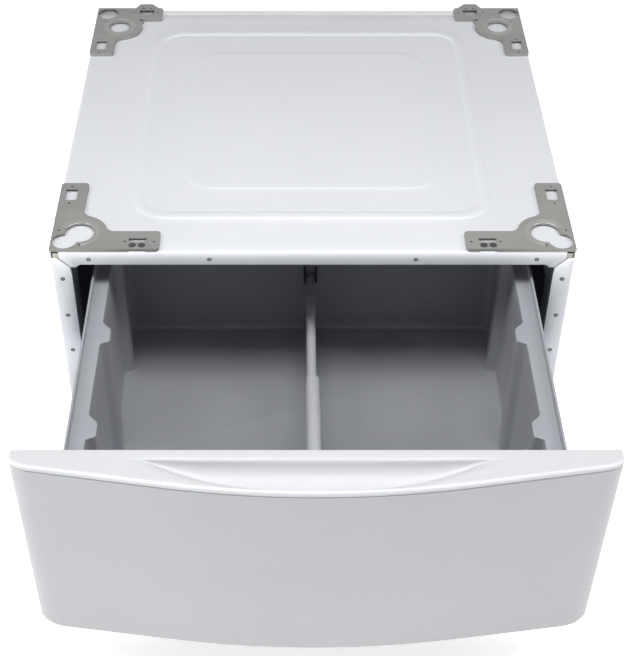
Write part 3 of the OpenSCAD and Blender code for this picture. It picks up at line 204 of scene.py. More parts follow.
def finish_material(name, light, shade, rough, rough_spread, grain, grain_depth, cloud=6.0,
                    stretch=(1, 1, 1), metal=0.0, coat=0.0, specular=0.5):
    """A surface whose colour drifts slowly between two tones, with a fine grain in its bump.

    grain and cloud are patterns per metre, of the bump and of the tones.
    """
    material = bpy.data.materials.new(name)
    material.use_nodes = True
    tree = material.node_tree
    surface = tree.nodes["Principled BSDF"]
    surface.inputs["Metallic"].default_value = metal
    surface.inputs["Coat Weight"].default_value = coat
    surface.inputs["Coat Roughness"].default_value = COAT_ROUGH
    surface.inputs["Specular IOR Level"].default_value = specular
    pattern = object_pattern(tree, stretch)
    drift = add_node(tree, "ShaderNodeTexNoise", {"Scale": cloud, "Detail": 4})
    tone = add_node(tree, "ShaderNodeValToRGB")
    start, end = tone.color_ramp.elements
    start.position, start.color = TONE_STARTS, shade
    end.position, end.color = TONE_ENDS, light
    peel = add_node(tree, "ShaderNodeTexNoise", {"Scale": grain, "Detail": 3})
    spread_of_gloss = add_node(tree, "ShaderNodeMapRange", {"To Min": rough - rough_spread,
                                                            "To Max": rough + rough_spread})
    bump = add_node(tree, "ShaderNodeBump", {"Distance": grain_depth, "Strength": 1.0})
    connect(tree, (pattern, drift.inputs["Vector"]),
            (pattern, peel.inputs["Vector"]),
            (drift.outputs["Fac"], tone.inputs["Fac"]),
            (tone.outputs["Color"], surface.inputs["Base Color"]),
            (peel.outputs["Fac"], spread_of_gloss.inputs["Value"]),
            (spread_of_gloss.outputs["Result"], surface.inputs["Roughness"]),
            (peel.outputs["Fac"], bump.inputs["Height"]),
            (bump.outputs["Normal"], surface.inputs["Normal"]))
    return material


def dress(material, *names):
    """Gives CAD nodes their finish."""
    for name in names:
        nodes[name].data.materials.clear()
        nodes[name].data.materials.append(material)


powder_white = finish_material("powder_white", light=PAINT_LIGHT, shade=PAINT_SHADE,
                               rough=0.5, rough_spread=0.05, grain=900, grain_depth=0.02 * MM,
                               specular=0.35)
dress(powder_white, "cabinet_wrap", "front_base_rail")
rivet_grey = finish_material("rivet_grey", light=(0.12, 0.122, 0.13, 1), shade=(0.09, 0.092, 0.10, 1),
                             rough=0.4, rough_spread=0.05, grain=900, grain_depth=0.01 * MM,
                             metal=0.4)
dress(rivet_grey, "flange_rivets")


def bent_grid(columns, rows, place):
    """A grid of columns by rows of vertices, each moved to place(column, row)."""
    mesh = bmesh.new()
    bmesh.ops.create_grid(mesh, x_segments=columns - 1, y_segments=rows - 1, size=0.5)
    for vertex in mesh.verts:
        column = round((vertex.co.x + 0.5) * (columns - 1))
        row = round((vertex.co.y + 0.5) * (rows - 1))
        vertex.co = place(column, row)
    return mesh


def face_towards(mesh, spot, direction):
    """Turns all faces of a skin so that the one nearest to spot looks in direction."""
    bmesh.ops.recalc_face_normals(mesh, faces=mesh.faces)
    mesh.faces.ensure_lookup_table()
    nearest = min(mesh.faces, key=lambda face: (face.calc_center_median() - Vector(spot)).length)
    if nearest.normal.dot(Vector(direction)) < 0:
        bmesh.ops.reverse_faces(mesh, faces=mesh.faces)


def make_piece(name, mesh, material, body, replaced=(), smooth_angle=40):
    """Turns a bmesh into an object with its finish, riding on the body that carries it."""
    data = bpy.data.meshes.new(name)
    mesh.to_mesh(data)
    mesh.free()
    data.shade_smooth()
    data.set_sharp_from_angle(angle=math.radians(smooth_angle))
    data.materials.append(material)
    piece = bpy.data.objects.new(name, data)
    scene.collection.objects.link(piece)
    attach(piece, body)
    if replaced:
        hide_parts(*replaced)
    return piece


def break_edges(piece, edge_r, edge_angle):
    """Rounds the edges of a piece that are sharper than an angle."""
    broken = piece.modifiers.new("broken_edges", "BEVEL")
    broken.width = edge_r
    broken.segments = 2
    broken.limit_method = "ANGLE"
    broken.angle_limit = math.radians(edge_angle)
    broken.use_clamp_overlap = True


def give_wall(piece, wall, edge_r=0.0, edge_angle=50, even=True):
    """Gives a moulded skin its wall, behind the face that shows, and breaks its sharp edges."""
    solid = piece.modifiers.new("wall", "SOLIDIFY")
    solid.thickness = wall
    solid.offset = -1
    solid.use_even_offset = even
    if edge_r:
        break_edges(piece, edge_r, edge_angle)


MERGE_WITHIN = 0.02 * MM


def joined(parts):
    """One bmesh out of several, with the vertices on their shared edges merged."""
    whole = bmesh.new()
    for part in parts:
        carrier = bpy.data.meshes.new("carrier")
        part.to_mesh(carrier)
        part.free()
        whole.from_mesh(carrier)
        bpy.data.meshes.remove(carrier)
    bmesh.ops.remove_doubles(whole, verts=whole.verts, dist=MERGE_WITHIN)
    return whole


def smooth_step(share):
    """A soft climb from 0 to 1, level at both ends."""
    share = min(max(share, 0), 1)
    return share * share * (3 - 2 * share)


cabinet_low, cabinet_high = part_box("cabinet_wrap")
SIDE_X = cabinet_high.x
SOLID_BEAD_H = 2 * MM
DECK_Z = cabinet_high.z - SOLID_BEAD_H
CABINET_FRONT_Y, CABINET_BACK_Y = cabinet_low.y, cabinet_high.y
CABINET_BOTTOM_Z = cabinet_low.z
SHEET = 1.2 * MM
FOLD_R = 3 * MM
# The bead's middle line and the raised field's edge: half width, front and back measured from the
# cabinet's front, and corner radius
BEAD_X, BEAD_FRONT, BEAD_BACK, BEAD_R = 236.5 * MM, 77 * MM, 556.5 * MM, 40 * MM
BEAD_HALF, BEAD_RAMP, BEAD_H = 8.75 * MM, 4.5 * MM, 1.6 * MM
FIELD_X, FIELD_FRONT, FIELD_BACK, FIELD_R = 173 * MM, 141 * MM, 492.5 * MM, 35 * MM
FIELD_RAMP, FIELD_H = 4.5 * MM, 0.8 * MM
RELIEF_X, RELIEF_Z = SIDE_X - 11.5 * MM, DECK_Z - 11 * MM
OPENING_X = SIDE_X - 25.5 * MM
FLANGE_LOW_Z, FLANGE_DEEP_Z = DECK_Z - 21.5 * MM, DECK_Z - 26 * MM
SEAM_GAP, SEAM_SLANT = 1.6 * MM, 1.4
DEEP_STARTS_X, DEEP_RUN, MITRE_X = 305.2 * MM, 5.8 * MM, 317.3 * MM
FOLD_STEPS = 5


def past_outline(x, depth, half, front, back, radius):
    """Distance of a point of the deck outside a rectangle with round corners, or inside if below 0."""
    past_side = abs(x) - (half - radius)
    past_end = abs(depth - (front + back) / 2) - ((back - front) / 2 - radius)
    if past_side > 0 and past_end > 0:
        return math.hypot(past_side, past_end) - radius
    return max(past_side, past_end) - radius


def deck_height(x, depth):
    """Height of the pressed bead and the raised field above the flat deck."""
    bead = abs(past_outline(x, depth, BEAD_X, BEAD_FRONT, BEAD_BACK, BEAD_R))
    field = past_outline(x, depth, FIELD_X, FIELD_FRONT, FIELD_BACK, FIELD_R)
    return max(BEAD_H * smooth_step((BEAD_HALF - bead) / BEAD_RAMP),
               FIELD_H * smooth_step((FIELD_RAMP - field) / FIELD_RAMP))


def spread(start, *runs):
    """Stations in metres from start through runs of (end, steps), both in millimetres."""
    stations = [start]
    for end, steps in runs:
        first = stations[-1]
        stations += [first + (end - first) * step / steps for step in range(1, steps + 1)]
    return [station * MM for station in stations]


# The mesh is fine where the field's edge and the bead rise, and coarse on the flat sheet between
half_deck = spread(0, (136, 4), (177, 24), (194, 2), (246, 31), (305.2, 2), (311, 1), (317.3, 1),
                   (331.5, 2), (340, 1))
deck_xs = [-x for x in reversed(half_deck)] + half_deck[1:]
deck_depths = spread(3, (68, 5), (121, 31), (137, 2), (180, 25), (455, 5), (497, 25), (513, 2),
                     (566, 31), (628, 2))
wall_zs = spread(25, (340, 3), (354, 1), (370, 3), (378, 1))
side_zs = wall_zs[:-1]
fold_turns = [math.radians(90 * step / FOLD_STEPS) for step in range(FOLD_STEPS + 1)]
left_wall = [(-SIDE_X, z) for z in side_zs]
left_wall += [(-SIDE_X + FOLD_R * (1 - math.cos(turn)), DECK_Z - FOLD_R * (1 - math.sin(turn)))
              for turn in fold_turns]
shell_path = left_wall + [(x, DECK_Z) for x in deck_xs[1:-1]] + [(-x, z) for x, z in reversed(left_wall)]


def shell_point(column, row):
    """One vertex of the sheet over the sides and the deck, with the deck's pressings."""
    x, z = shell_path[column]
    depth = deck_depths[row]
    return Vector((x, CABINET_FRONT_Y + depth, z + (deck_height(x, depth) if z == DECK_Z else 0)))


flange_xs = [x for x, z in shell_path if z == DECK_Z and abs(x) < RELIEF_X + 0.1 * MM]


def top_flange_point(column, row):
    """The deck's front fold, then the flange down to the opening with its mitred, deeper ends."""
    x = flange_xs[column]
    if row < len(fold_turns):
        turn = fold_turns[row]
        return Vector((x, CABINET_FRONT_Y + FOLD_R * (1 - math.sin(turn)),
                       DECK_Z - FOLD_R * (1 - math.cos(turn))))
    deep = min(max((abs(x) - DEEP_STARTS_X) / DEEP_RUN, 0), 1)
    low = FLANGE_LOW_Z + (FLANGE_DEEP_Z - FLANGE_LOW_Z) * deep
    return Vector((x, CABINET_FRONT_Y, max(low, FLANGE_DEEP_Z + abs(x) - MITRE_X)))


def side_flange_point(side):
    """The rule that places the vertices of one side's front fold and flange."""
    def place(column, row):
        z = side_zs[column]
        if row < len(fold_turns):
            turn = fold_turns[row]
            return Vector((side * (SIDE_X - FOLD_R * (1 - math.cos(turn))),
                           CABINET_FRONT_Y + FOLD_R * (1 - math.sin(turn)), z))
        inner = max(OPENING_X, MITRE_X + SEAM_GAP * SEAM_SLANT + z - FLANGE_DEEP_Z)
        return Vector((side * inner, CABINET_FRONT_Y, z))
    return place


shell = bent_grid(len(shell_path), len(deck_depths), shell_point)
face_towards(shell, (0, 0.2, DECK_Z), (0, 0, 1))
top_flange = bent_grid(len(flange_xs), len(fold_turns) + 1, top_flange_point)
face_towards(top_flange, (0, CABINET_FRONT_Y, FLANGE_LOW_Z), (0, -1, 0))
flanges = []
for side in (-1, 1):
    flange = bent_grid(len(side_zs), len(fold_turns) + 1, side_flange_point(side))
    face_towards(flange, (side * OPENING_X, CABINET_FRONT_Y, 0.2), (0, -1, 0))
    flanges.append(flange)
wrap = make_piece("pressed_cabinet", joined([shell, top_flange] + flanges), powder_white, "cabinet",
                  ["cabinet_wrap"])
give_wall(wrap, SHEET)


def rounded_block(mesh, low, high, edge_r):
    """Adds a block between two corners, with its edges broken."""
    block = bmesh.ops.create_cube(mesh, size=1)["verts"]
    size = Vector(high) - Vector(low)
    bmesh.ops.scale(mesh, verts=block, vec=size)
    bmesh.ops.translate(mesh, verts=block, vec=(Vector(high) + Vector(low)) / 2)
    edges = list({edge for vertex in block for edge in vertex.link_edges})
    bmesh.ops.bevel(mesh, geom=edges, offset=edge_r, segments=2, profile=0.5, affect="EDGES", material=-1)


# Flanges turned in at the back, onto which the back panel is screwed
REAR_FLANGE = 15 * MM
CUT_EDGE_R = 0.3 * MM
mesh = bmesh.new()
for side in (-1, 1):
    xs = sorted((side * (SIDE_X - REAR_FLANGE), side * (SIDE_X - CUT_EDGE_R)))
    rounded_block(mesh, (xs[0], CABINET_BACK_Y - SHEET, CABINET_BOTTOM_Z),
                  (xs[1], CABINET_BACK_Y, DECK_Z - FOLD_R), CUT_EDGE_R)
rounded_block(mesh, (FOLD_R - SIDE_X, CABINET_BACK_Y - SHEET, DECK_Z - REAR_FLANGE),
              (SIDE_X - FOLD_R, CABINET_BACK_Y, DECK_Z - CUT_EDGE_R), CUT_EDGE_R)
make_piece("rear_flanges", mesh, powder_white, "cabinet")

# A dab of beige sealing compound closes the relief in each front corner
SEALER_FROM, SEALER_TO = 0.4 * MM, 3 * MM
SEALER_LAP_X, SEALER_LAP_Z, SEALER_SHORT = 0.5 * MM, 1 * MM, 3.5 * MM
SEALER_EDGE_R = 0.8 * MM
sealer_beige = finish_material("sealer_beige", light=(0.47, 0.44, 0.37, 1), shade=(0.40, 0.375, 0.32, 1),
                               rough=0.7, rough_spread=0.1, grain=600, grain_depth=0.1 * MM)
mesh = bmesh.new()
for side in (-1, 1):
    xs = sorted((side * (RELIEF_X - SEALER_LAP_X), side * (SIDE_X - SEALER_SHORT)))
    rounded_block(mesh, (xs[0], CABINET_FRONT_Y + SEALER_FROM, RELIEF_Z - SEALER_LAP_Z),
                  (xs[1], CABINET_FRONT_Y + SEALER_TO, DECK_Z - SEALER_SHORT), SEALER_EDGE_R)
make_piece("corner_sealer", mesh, sealer_beige, "cabinet")

# ---------------------------------------------------------------- galvanised frame
# Uprights, beams and rails are roll-formed from galvanised sheet, whose zinc crystals show as
# pale and dark flakes. They are spot-welded inside the wrap.
ZINC_FLAKE_LIGHT = (0.60, 0.62, 0.64, 1)
ZINC_FLAKE_DARK = (0.48, 0.50, 0.53, 1)
FLAKES_PER_METRE = 170
FLAKE_ROUGH_LEAST, FLAKE_ROUGH_MOST = 0.32, 0.55
FLAKE_METAL = 0.85


def flaked_zinc():
    """Sheet metal whose every flake has its own tone and its own gloss."""
    material = bpy.data.materials.new("galvanised_sheet")
    material.use_nodes = True
    tree = material.node_tree
    surface = tree.nodes["Principled BSDF"]
    surface.inputs["Metallic"].default_value = FLAKE_METAL
    flakes = add_node(tree, "ShaderNodeTexVoronoi", {"Scale": FLAKES_PER_METRE})
    value = add_node(tree, "ShaderNodeSeparateColor")
    tone = add_node(tree, "ShaderNodeValToRGB")
    tone.color_ramp.elements[0].color = ZINC_FLAKE_DARK
    tone.color_ramp.elements[1].color = ZINC_FLAKE_LIGHT
    gloss = add_node(tree, "ShaderNodeMapRange", {"To Min": FLAKE_ROUGH_LEAST, "To Max": FLAKE_ROUGH_MOST})
    connect(tree, (object_pattern(tree), flakes.inputs["Vector"]),
            (flakes.outputs["Color"], value.inputs["Color"]),
            (value.outputs["Red"], tone.inputs["Fac"]),
            (value.outputs["Green"], gloss.inputs["Value"]),
            (tone.outputs["Color"], surface.inputs["Base Color"]),
            (gloss.outputs["Result"], surface.inputs["Roughness"]))
    return material


dress(flaked_zinc(), "back_panel", "left_rear_post", "right_rear_post", "front_deck_beam",
      "middle_deck_beam", "rear_deck_beam", "rear_base_rail", "left_base_rail", "right_base_rail",
      "corner_gussets", "front_stiffener", "left_tub_rail", "right_tub_rail")
# What shows beside the drawer opening is coloured near black: painted shade, for the cabinet's shadow that
# falls on it
painted_shade_dark = finish_material("painted_shade_steel", light=(0.075, 0.085, 0.10, 1), shade=(0.055, 0.063, 0.075, 1),
                              rough=0.5, rough_spread=0.08, grain=700, grain_depth=0.02 * MM)
dress(painted_shade_dark, "left_front_post", "right_front_post", "front_header", "left_slide_support",
      "right_slide_support")

# ---------------------------------------------------------------- slides, screws and nuts
# The ball slides and all the small hardware are bright zinc-plated steel with a thin smear of
# grease on the races. They are bought in and screwed on.
bright_zinc = finish_material("bright_zinc", light=(0.72, 0.74, 0.76, 1), shade=(0.6, 0.62, 0.65, 1),
                              rough=0.3, rough_spread=0.08, grain=500, grain_depth=0.01 * MM,
                              cloud=40, metal=0.9)
dress(bright_zinc, "left_cabinet_slide", "right_cabinet_slide", "left_drawer_slide",
      "right_drawer_slide", "back_screws", "support_screws", "stiffener_screws", "tub_screws",
      "slide_screws", "weld_nuts", "left_ball_cage", "right_ball_cage", "front_left_stud",
      "front_right_stud", "rear_left_stud", "rear_right_stud")
ball_steel = finish_material("ball_steel", light=(0.8, 0.81, 0.82, 1), shade=(0.72, 0.73, 0.75, 1),
                             rough=0.1, rough_spread=0.03, grain=900, grain_depth=0.002 * MM,
                             metal=1.0)
dress(ball_steel, "left_balls", "right_balls")

# ---------------------------------------------------------------- top brackets
# Four pressed steel brackets hold the machine's feet on the deck's corners. They are plated in
# dull zinc, with fine rolling lines along the sheet.
BRACKETS = ("front_left_bracket", "front_right_bracket", "rear_left_bracket", "rear_right_bracket")
BRACKET_EDGE_R, BRACKET_EDGE_ANGLE = 0.35 * MM, 20
bracket_zinc = finish_material("bracket_zinc", light=(0.29, 0.291, 0.279, 1), shade=(0.242, 0.243, 0.234, 1),
                               rough=0.42, rough_spread=0.06, grain=420, grain_depth=0.02 * MM,
                               cloud=14, stretch=(0.25, 1, 1), metal=0.5)
dress(bracket_zinc, *BRACKETS)


def softened(name, material, body, edge_r, edge_angle):
    """A merged copy of a CAD node with its sharp edges broken, which takes the node's place."""
    mesh = bmesh.new()
    mesh.from_mesh(nodes[name].data)
    mesh.transform(nodes[name].matrix_world)
    bmesh.ops.remove_doubles(mesh, verts=mesh.verts, dist=0.01 * MM)
    bmesh.ops.dissolve_limit(mesh, angle_limit=math.radians(0.5), verts=mesh.verts, edges=mesh.edges)
    piece = make_piece("soft_" + name, mesh, material, body, [name])
    break_edges(piece, edge_r, edge_angle)


for name in BRACKETS:
    softened(name, bracket_zinc, "cabinet", BRACKET_EDGE_R, BRACKET_EDGE_ANGLE)


FULL_TURN = 360
RING_STEPS, OPEN_RING_STEPS = 48, 32


def turned_ring(mesh, centre, profile, start, sweep):
    """Adds a closed profile of (radius, height) pairs swept round an upright axis at centre."""
    direction = Vector((math.cos(math.radians(start)), math.sin(math.radians(start)), 0))
    points = [mesh.verts.new(Vector(centre) + direction * radius * MM + Vector((0, 0, height * MM)))
              for radius, height in profile]
    edges = [mesh.edges.new((points[index], points[index - 1])) for index in range(len(points))]
    if sweep == FULL_TURN:
        bmesh.ops.spin(mesh, geom=points + edges, cent=centre, axis=(0, 0, 1), angle=math.radians(sweep),
                       steps=RING_STEPS, use_merge=True)
    else:
        bmesh.ops.spin(mesh, geom=[mesh.faces.new(points)], cent=centre, axis=(0, 0, 1),
                       angle=math.radians(sweep), steps=OPEN_RING_STEPS)


# Each boss hole has a pressed collar. The front ones are cut open where the corner hole runs into
# them, the rear ones go all the way round. Profiles are (radius, height) in millimetres.
RAISED_PAD_H = 0.6 * MM
PLATE_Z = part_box("front_left_bracket")[1].z - RAISED_PAD_H
FRONT_BOSS_X, FRONT_BOSS_Y = 307 * MM, -81 * MM
REAR_BOSS_X, REAR_BOSS_Y = 303 * MM, 453 * MM
FRONT_COLLAR = [(20, -1.5), (20, -0.4), (20.5, 0.05), (22, 0.08), (25, 0.08), (25.7, 0.28), (26.5, 0.36),
                (27.3, 0.28), (28, -0.2), (28, -1.5)]
REAR_COLLAR = [(16.8, -1.5), (16.8, -0.3), (17.4, 0.15), (18.6, 0.15), (19.4, -0.5), (22.6, -0.6),
               (23.4, 0.1), (24.4, 0.35), (25.4, 0.25), (26, -0.3), (26, -1.5)]
COLLAR_SWEEP = 240
LEFT_COLLAR_START, RIGHT_COLLAR_START = -82, 22
collar_zinc = finish_material("collar_zinc", light=(0.34, 0.34, 0.328, 1), shade=(0.29, 0.29, 0.28, 1),
                              rough=0.36, rough_spread=0.05, grain=420, grain_depth=0.02 * MM,
                              cloud=14, metal=0.7)
mesh = bmesh.new()
for side, start in ((-1, LEFT_COLLAR_START), (1, RIGHT_COLLAR_START)):
    turned_ring(mesh, (side * FRONT_BOSS_X, FRONT_BOSS_Y, PLATE_Z), FRONT_COLLAR, start, COLLAR_SWEEP)
    turned_ring(mesh, (side * REAR_BOSS_X, REAR_BOSS_Y, PLATE_Z), REAR_COLLAR, 0, FULL_TURN)
bmesh.ops.recalc_face_normals(mesh, faces=mesh.faces)
make_piece("boss_collars", mesh, collar_zinc, "cabinet")

# Clinch nuts stand in the fixing holes as two rings side by side, coloured near black: painted shade, for the
# shade inside the threaded holes
NUT_XS, NUT_Y = (235 * MM, 223 * MM), -109 * MM
NUT_PROFILE = [(2.7, -1.2), (2.7, 0.5), (3.1, 0.8), (4.3, 0.8), (4.8, 0.5), (4.8, -0.3), (3.4, -1.2)]
nut_painted_shade = finish_material("clinch_nut_painted_shade", light=(0.07, 0.07, 0.072, 1), shade=(0.045, 0.045, 0.047, 1),
                           rough=0.35, rough_spread=0.06, grain=800, grain_depth=0.01 * MM,
                           metal=0.6)
mesh = bmesh.new()
for x in NUT_XS:
    for side in (-1, 1):
        turned_ring(mesh, (side * x, NUT_Y, PLATE_Z), NUT_PROFILE, 0, FULL_TURN)
bmesh.ops.recalc_face_normals(mesh, faces=mesh.faces)
make_piece("clinch_nuts", mesh, nut_painted_shade, "cabinet")

# ---------------------------------------------------------------- drawer front
# The bowed front is one injection moulding in glossy white plastic, open at the back, with bosses
# that take the screws of the steel pan. Its ends and its bottom edge are softly rounded.
# The front's white plastic is coloured grey, darker than the cap: painted shade, for the lesser light on its
# face
front_white_with_painted_shade = finish_material("gloss_white_plastic",
                              light=(0.415, 0.42, 0.435, 1), shade=(0.405, 0.41, 0.425, 1),
                              rough=0.36, rough_spread=0.04, grain=700, grain_depth=0.008 * MM,
                              coat=0.6)
front_low, front_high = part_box("drawer_front")
cap_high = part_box("front_cap")[1]
FRONT_HALF = front_high.x
FRONT_BACK_Y = front_high.y
FRONT_BOTTOM_Z = front_low.z
CAP_H, GROOVE_H = 8 * MM, 1.6 * MM
GROOVE_TOP_Z = cap_high.z - CAP_H
PANEL_TOP_Z = GROOVE_TOP_Z - GROOVE_H
TOP_BOW, TOP_BOW_R = 64 * MM, 1061 * MM
BOTTOM_BOW, BOTTOM_BOW_R = 47 * MM, 1233 * MM
BOW_HALF = 175 * MM
END_RUN, END_DEPTH = 33 * MM, 15 * MM
BOTTOM_CORNER_R = 18 * MM
BOTTOM_EDGE_R = 5 * MM
TOP_EDGE_R = 1.8 * MM
GROOVE_DEPTH = 2.5 * MM
FRONT_WALL = 3 * MM
END_STEPS, FLANK_STEPS, BOW_STEPS = 12, 5, 24


def round_end(half, middle, radius):
    """Where the straight flank leaves the bow, and the quarter ellipse that turns it backwards.

    Gives the flank's slope and depth, the ellipse's centre and the angle at which they meet.
    """
    slope = BOW_HALF / radius
    flank = middle - BOW_HALF * slope / 2
    turn = math.atan2(END_DEPTH, END_RUN * slope)
    centre_x = half - END_RUN
    meet_x = centre_x + END_RUN * math.cos(turn)
    centre_depth = flank - (meet_x - BOW_HALF) * slope - END_DEPTH * math.sin(turn)
    return slope, flank, centre_x, centre_depth, turn


def bow_path(half, middle, radius, inset):
    """Plan of the front from its left rear edge round to the right one, as (x, depth) pairs."""
    _, flank, centre_x, centre_depth, turn = round_end(half, middle, radius)
    right = [(half - inset, 0), (half - inset, centre_depth / 2)]
    for step in range(END_STEPS + 1):
        angle = turn * step / END_STEPS
        right.append((centre_x + (END_RUN - inset) * math.cos(angle),
                      centre_depth + (END_DEPTH - inset) * math.sin(angle)))
    meet_x, meet_depth = right[-1]
    for step in range(1, FLANK_STEPS):
        share = step / FLANK_STEPS
        right.append((meet_x + (BOW_HALF - meet_x) * share,
                      meet_depth + (flank - inset - meet_depth) * share))
    for step in range(BOW_STEPS + 1):
        x = BOW_HALF * (1 - step / BOW_STEPS)
        right.append((x, middle - inset - x * x / (2 * radius)))
    return [(-x, depth) for x, depth in right[:-1]] + list(reversed(right))


def front_rows():
    """Height above the bottom and inset of each row of the front's skin, bottom to top."""
    tall = PANEL_TOP_Z - FRONT_BOTTOM_Z
    rows = []
    for angle in range(0, 91, 15):
        fall = math.radians(90 - angle)
        rows.append((BOTTOM_EDGE_R * (1 - math.sin(fall)), BOTTOM_EDGE_R * (1 - math.cos(fall))))
    rows += [(height * MM, 0) for height in (6.5, 8, 10, 12.5, 15, 18, 40, 80, 120, 160, 200, 240, 280)]
    for angle in (0, 22.5, 45, 67.5, 90):
        angle = math.radians(angle)
        rows.append((tall - TOP_EDGE_R * (1 - math.sin(angle)), TOP_EDGE_R * (1 - math.cos(angle))))
    rows.append((tall, GROOVE_DEPTH))
    rows.append((GROOVE_TOP_Z - FRONT_BOTTOM_Z, GROOVE_DEPTH))
    return rows


FRONT_ROWS = front_rows()
FRONT_COLUMNS = len(bow_path(FRONT_HALF, TOP_BOW, TOP_BOW_R, 0))


def front_point(column, row):
    """One vertex of the front's skin; row 0 is the rear edge of its underside."""
    height, inset = FRONT_ROWS[max(row - 1, 0)]
    share = min(height / (PANEL_TOP_Z - FRONT_BOTTOM_Z), 1)
    middle = BOTTOM_BOW + (TOP_BOW - BOTTOM_BOW) * share
    radius = BOTTOM_BOW_R + (TOP_BOW_R - BOTTOM_BOW_R) * share
    rise = max(BOTTOM_CORNER_R - height, 0)
    half = FRONT_HALF - BOTTOM_CORNER_R + math.sqrt(BOTTOM_CORNER_R ** 2 - rise ** 2)
    x, depth = bow_path(half, middle, radius, inset)[column]
    if row == 0:
        depth = 0
    return Vector((x, FRONT_BACK_Y - depth, FRONT_BOTTOM_Z + height))


mesh = bent_grid(FRONT_COLUMNS, len(FRONT_ROWS) + 1, front_point)
bmesh.ops.remove_doubles(mesh, verts=mesh.verts, dist=MERGE_WITHIN)
face_towards(mesh, (0, -1, 0.25), (0, -1, 0))
front_skin = make_piece("bowed_front", mesh, front_white_with_painted_shade, "drawer", ["drawer_front"])
give_wall(front_skin, FRONT_WALL, even=False)

# ---------------------------------------------------------------- front cap
# The cap is a second white plastic moulding, pressed onto the front's neck. Its top rolls over
# softly to the face, and a finger scoop is sunk into it behind the lip.
cap_white = finish_material("cap_white_plastic", light=(0.66, 0.667, 0.685, 1), shade=(0.65, 0.657, 0.675, 1),
                            rough=0.4, rough_spread=0.04, grain=700, grain_depth=0.008 * MM,
                            specular=0.3)
CAP_TOP_Z = cap_high.z
CAP_EDGE_R = 3 * MM
CAP_BACK_R = 2 * MM
CAP_WALL = 2 * MM
SCOOP_DEPTH = 21 * MM
SCOOP_HALF = 212 * MM
SCOOP_BACK = 15 * MM
SCOOP_LIP = 6 * MM
SCOOP_END = 78 * MM
SCOOP_WALL_RUN = 27 * MM
SCOOP_RISE = 13 * MM
SCOOP_TIP = 0.94
SCOOP_POWER = 2.6
HALVINGS = 12
SMOOTHINGS = 10
SMOOTH_PAST_END, SMOOTH_SHORT_OF_FRONT, SMOOTH_SHORT_OF_BACK = 15 * MM, 2.5 * MM, 4 * MM


def scoop_holds(x, depth, angle):
    """Whether a point of the plan lies inside the scoop's outline at one level of its wall."""
    fall, bulge = math.sin(angle), 1 - math.cos(angle)
    half = SCOOP_HALF - SCOOP_END * (0.6 * fall + 0.4 * bulge)
    back = SCOOP_BACK + SCOOP_WALL_RUN * bulge
    front = TOP_BOW - SCOOP_LIP - SCOOP_RISE * (fall + bulge) / 2
    share = abs(x) / (SCOOP_TIP * half)
    return share < 1 and back <= depth <= back + (front - back) * (1 - share ** SCOOP_POWER)


def scoop_sink(x, depth):
    """How deep the scoop is at a point of the plan, found by halving the angle of its wall."""
    if not scoop_holds(x, depth, 0):
        return 0
    low, high = 0, math.pi / 2
    for _ in range(HALVINGS):
        middle = (low + high) / 2
        if scoop_holds(x, depth, middle):
            low = middle
        else:
            high = middle
    return SCOOP_DEPTH * math.sin(low)


def rolled_edge(distance, radius):
    """Drop of a rounded edge at a distance from its outline."""
    if distance >= radius:
        return 0
    return radius - math.sqrt(radius ** 2 - (radius - distance) ** 2)


# The cap's outline as a close row of points, to find how far a point of its top is from the edge
OUTLINE_STEP = 0.15 * MM
cap_path = bow_path(FRONT_HALF, TOP_BOW, TOP_BOW_R, 0)
fine_path = []
for (x0, d0), (x1, d1) in zip(cap_path, cap_path[1:]):
    count = max(int(math.hypot(x1 - x0, d1 - d0) / OUTLINE_STEP), 1)
    fine_path += [(x0 + (x1 - x0) * step / count, d0 + (d1 - d0) * step / count) for step in range(count)]
edge_finder = kdtree.KDTree(len(fine_path))
for index, (x, depth) in enumerate(fine_path):
    edge_finder.insert((x, depth, 0), index)
edge_finder.balance()

COLUMN_STEP = 4 * MM
END_RUNS = (5, 6.5, 8, 10, 12, 14, 16.5, 19, 22)
half_cap = [FRONT_HALF - CAP_EDGE_R * (1 - math.cos(math.radians(angle))) for angle in range(0, 90, 12)]
half_cap += [FRONT_HALF - run * MM for run in END_RUNS]
inner_x = half_cap[-1]
steps = round(inner_x / COLUMN_STEP)
half_cap += [inner_x * (1 - step / steps) for step in range(1, steps + 1)]
cap_columns = [-x for x in half_cap[:-1]] + list(reversed(half_cap))


def cap_reach(x):
    """Depth of the cap's front edge at x."""
    x = abs(x)
    if x <= BOW_HALF:
        return TOP_BOW - x * x / (2 * TOP_BOW_R)
    slope, flank, centre_x, centre_depth, turn = round_end(FRONT_HALF, TOP_BOW, TOP_BOW_R)
    if x <= centre_x + END_RUN * math.cos(turn):
        return flank - (x - BOW_HALF) * slope
    return centre_depth + END_DEPTH * math.sqrt(max(1 - ((x - centre_x) / END_RUN) ** 2, 0))


# Rows of the cap's mesh from back to front: depths in millimetres as far as the knee, then shares
# of what is left, then angles round the rolled edge
KNEE = 24 * MM
KNEE_SHARE, LEAST_REACH = 0.6, 5 * MM
ROLL = CAP_EDGE_R * 0.98
BACK_ROWS = [0, 0.15, 0.55, 1.2, 2, 4, 7, 10, 12, 13.2, 14, 14.6, 15.1, 15.6, 16.1, 16.7, 17.4, 18.2,
             19.2, 20.5, 22, 24]
FRONT_SHARES = [0.07, 0.15, 0.23, 0.31, 0.39, 0.47, 0.55, 0.63, 0.71, 0.79, 0.86, 0.93, 1]
EDGE_ANGLES = [10, 20, 30, 40, 50, 60, 70, 80, 90]


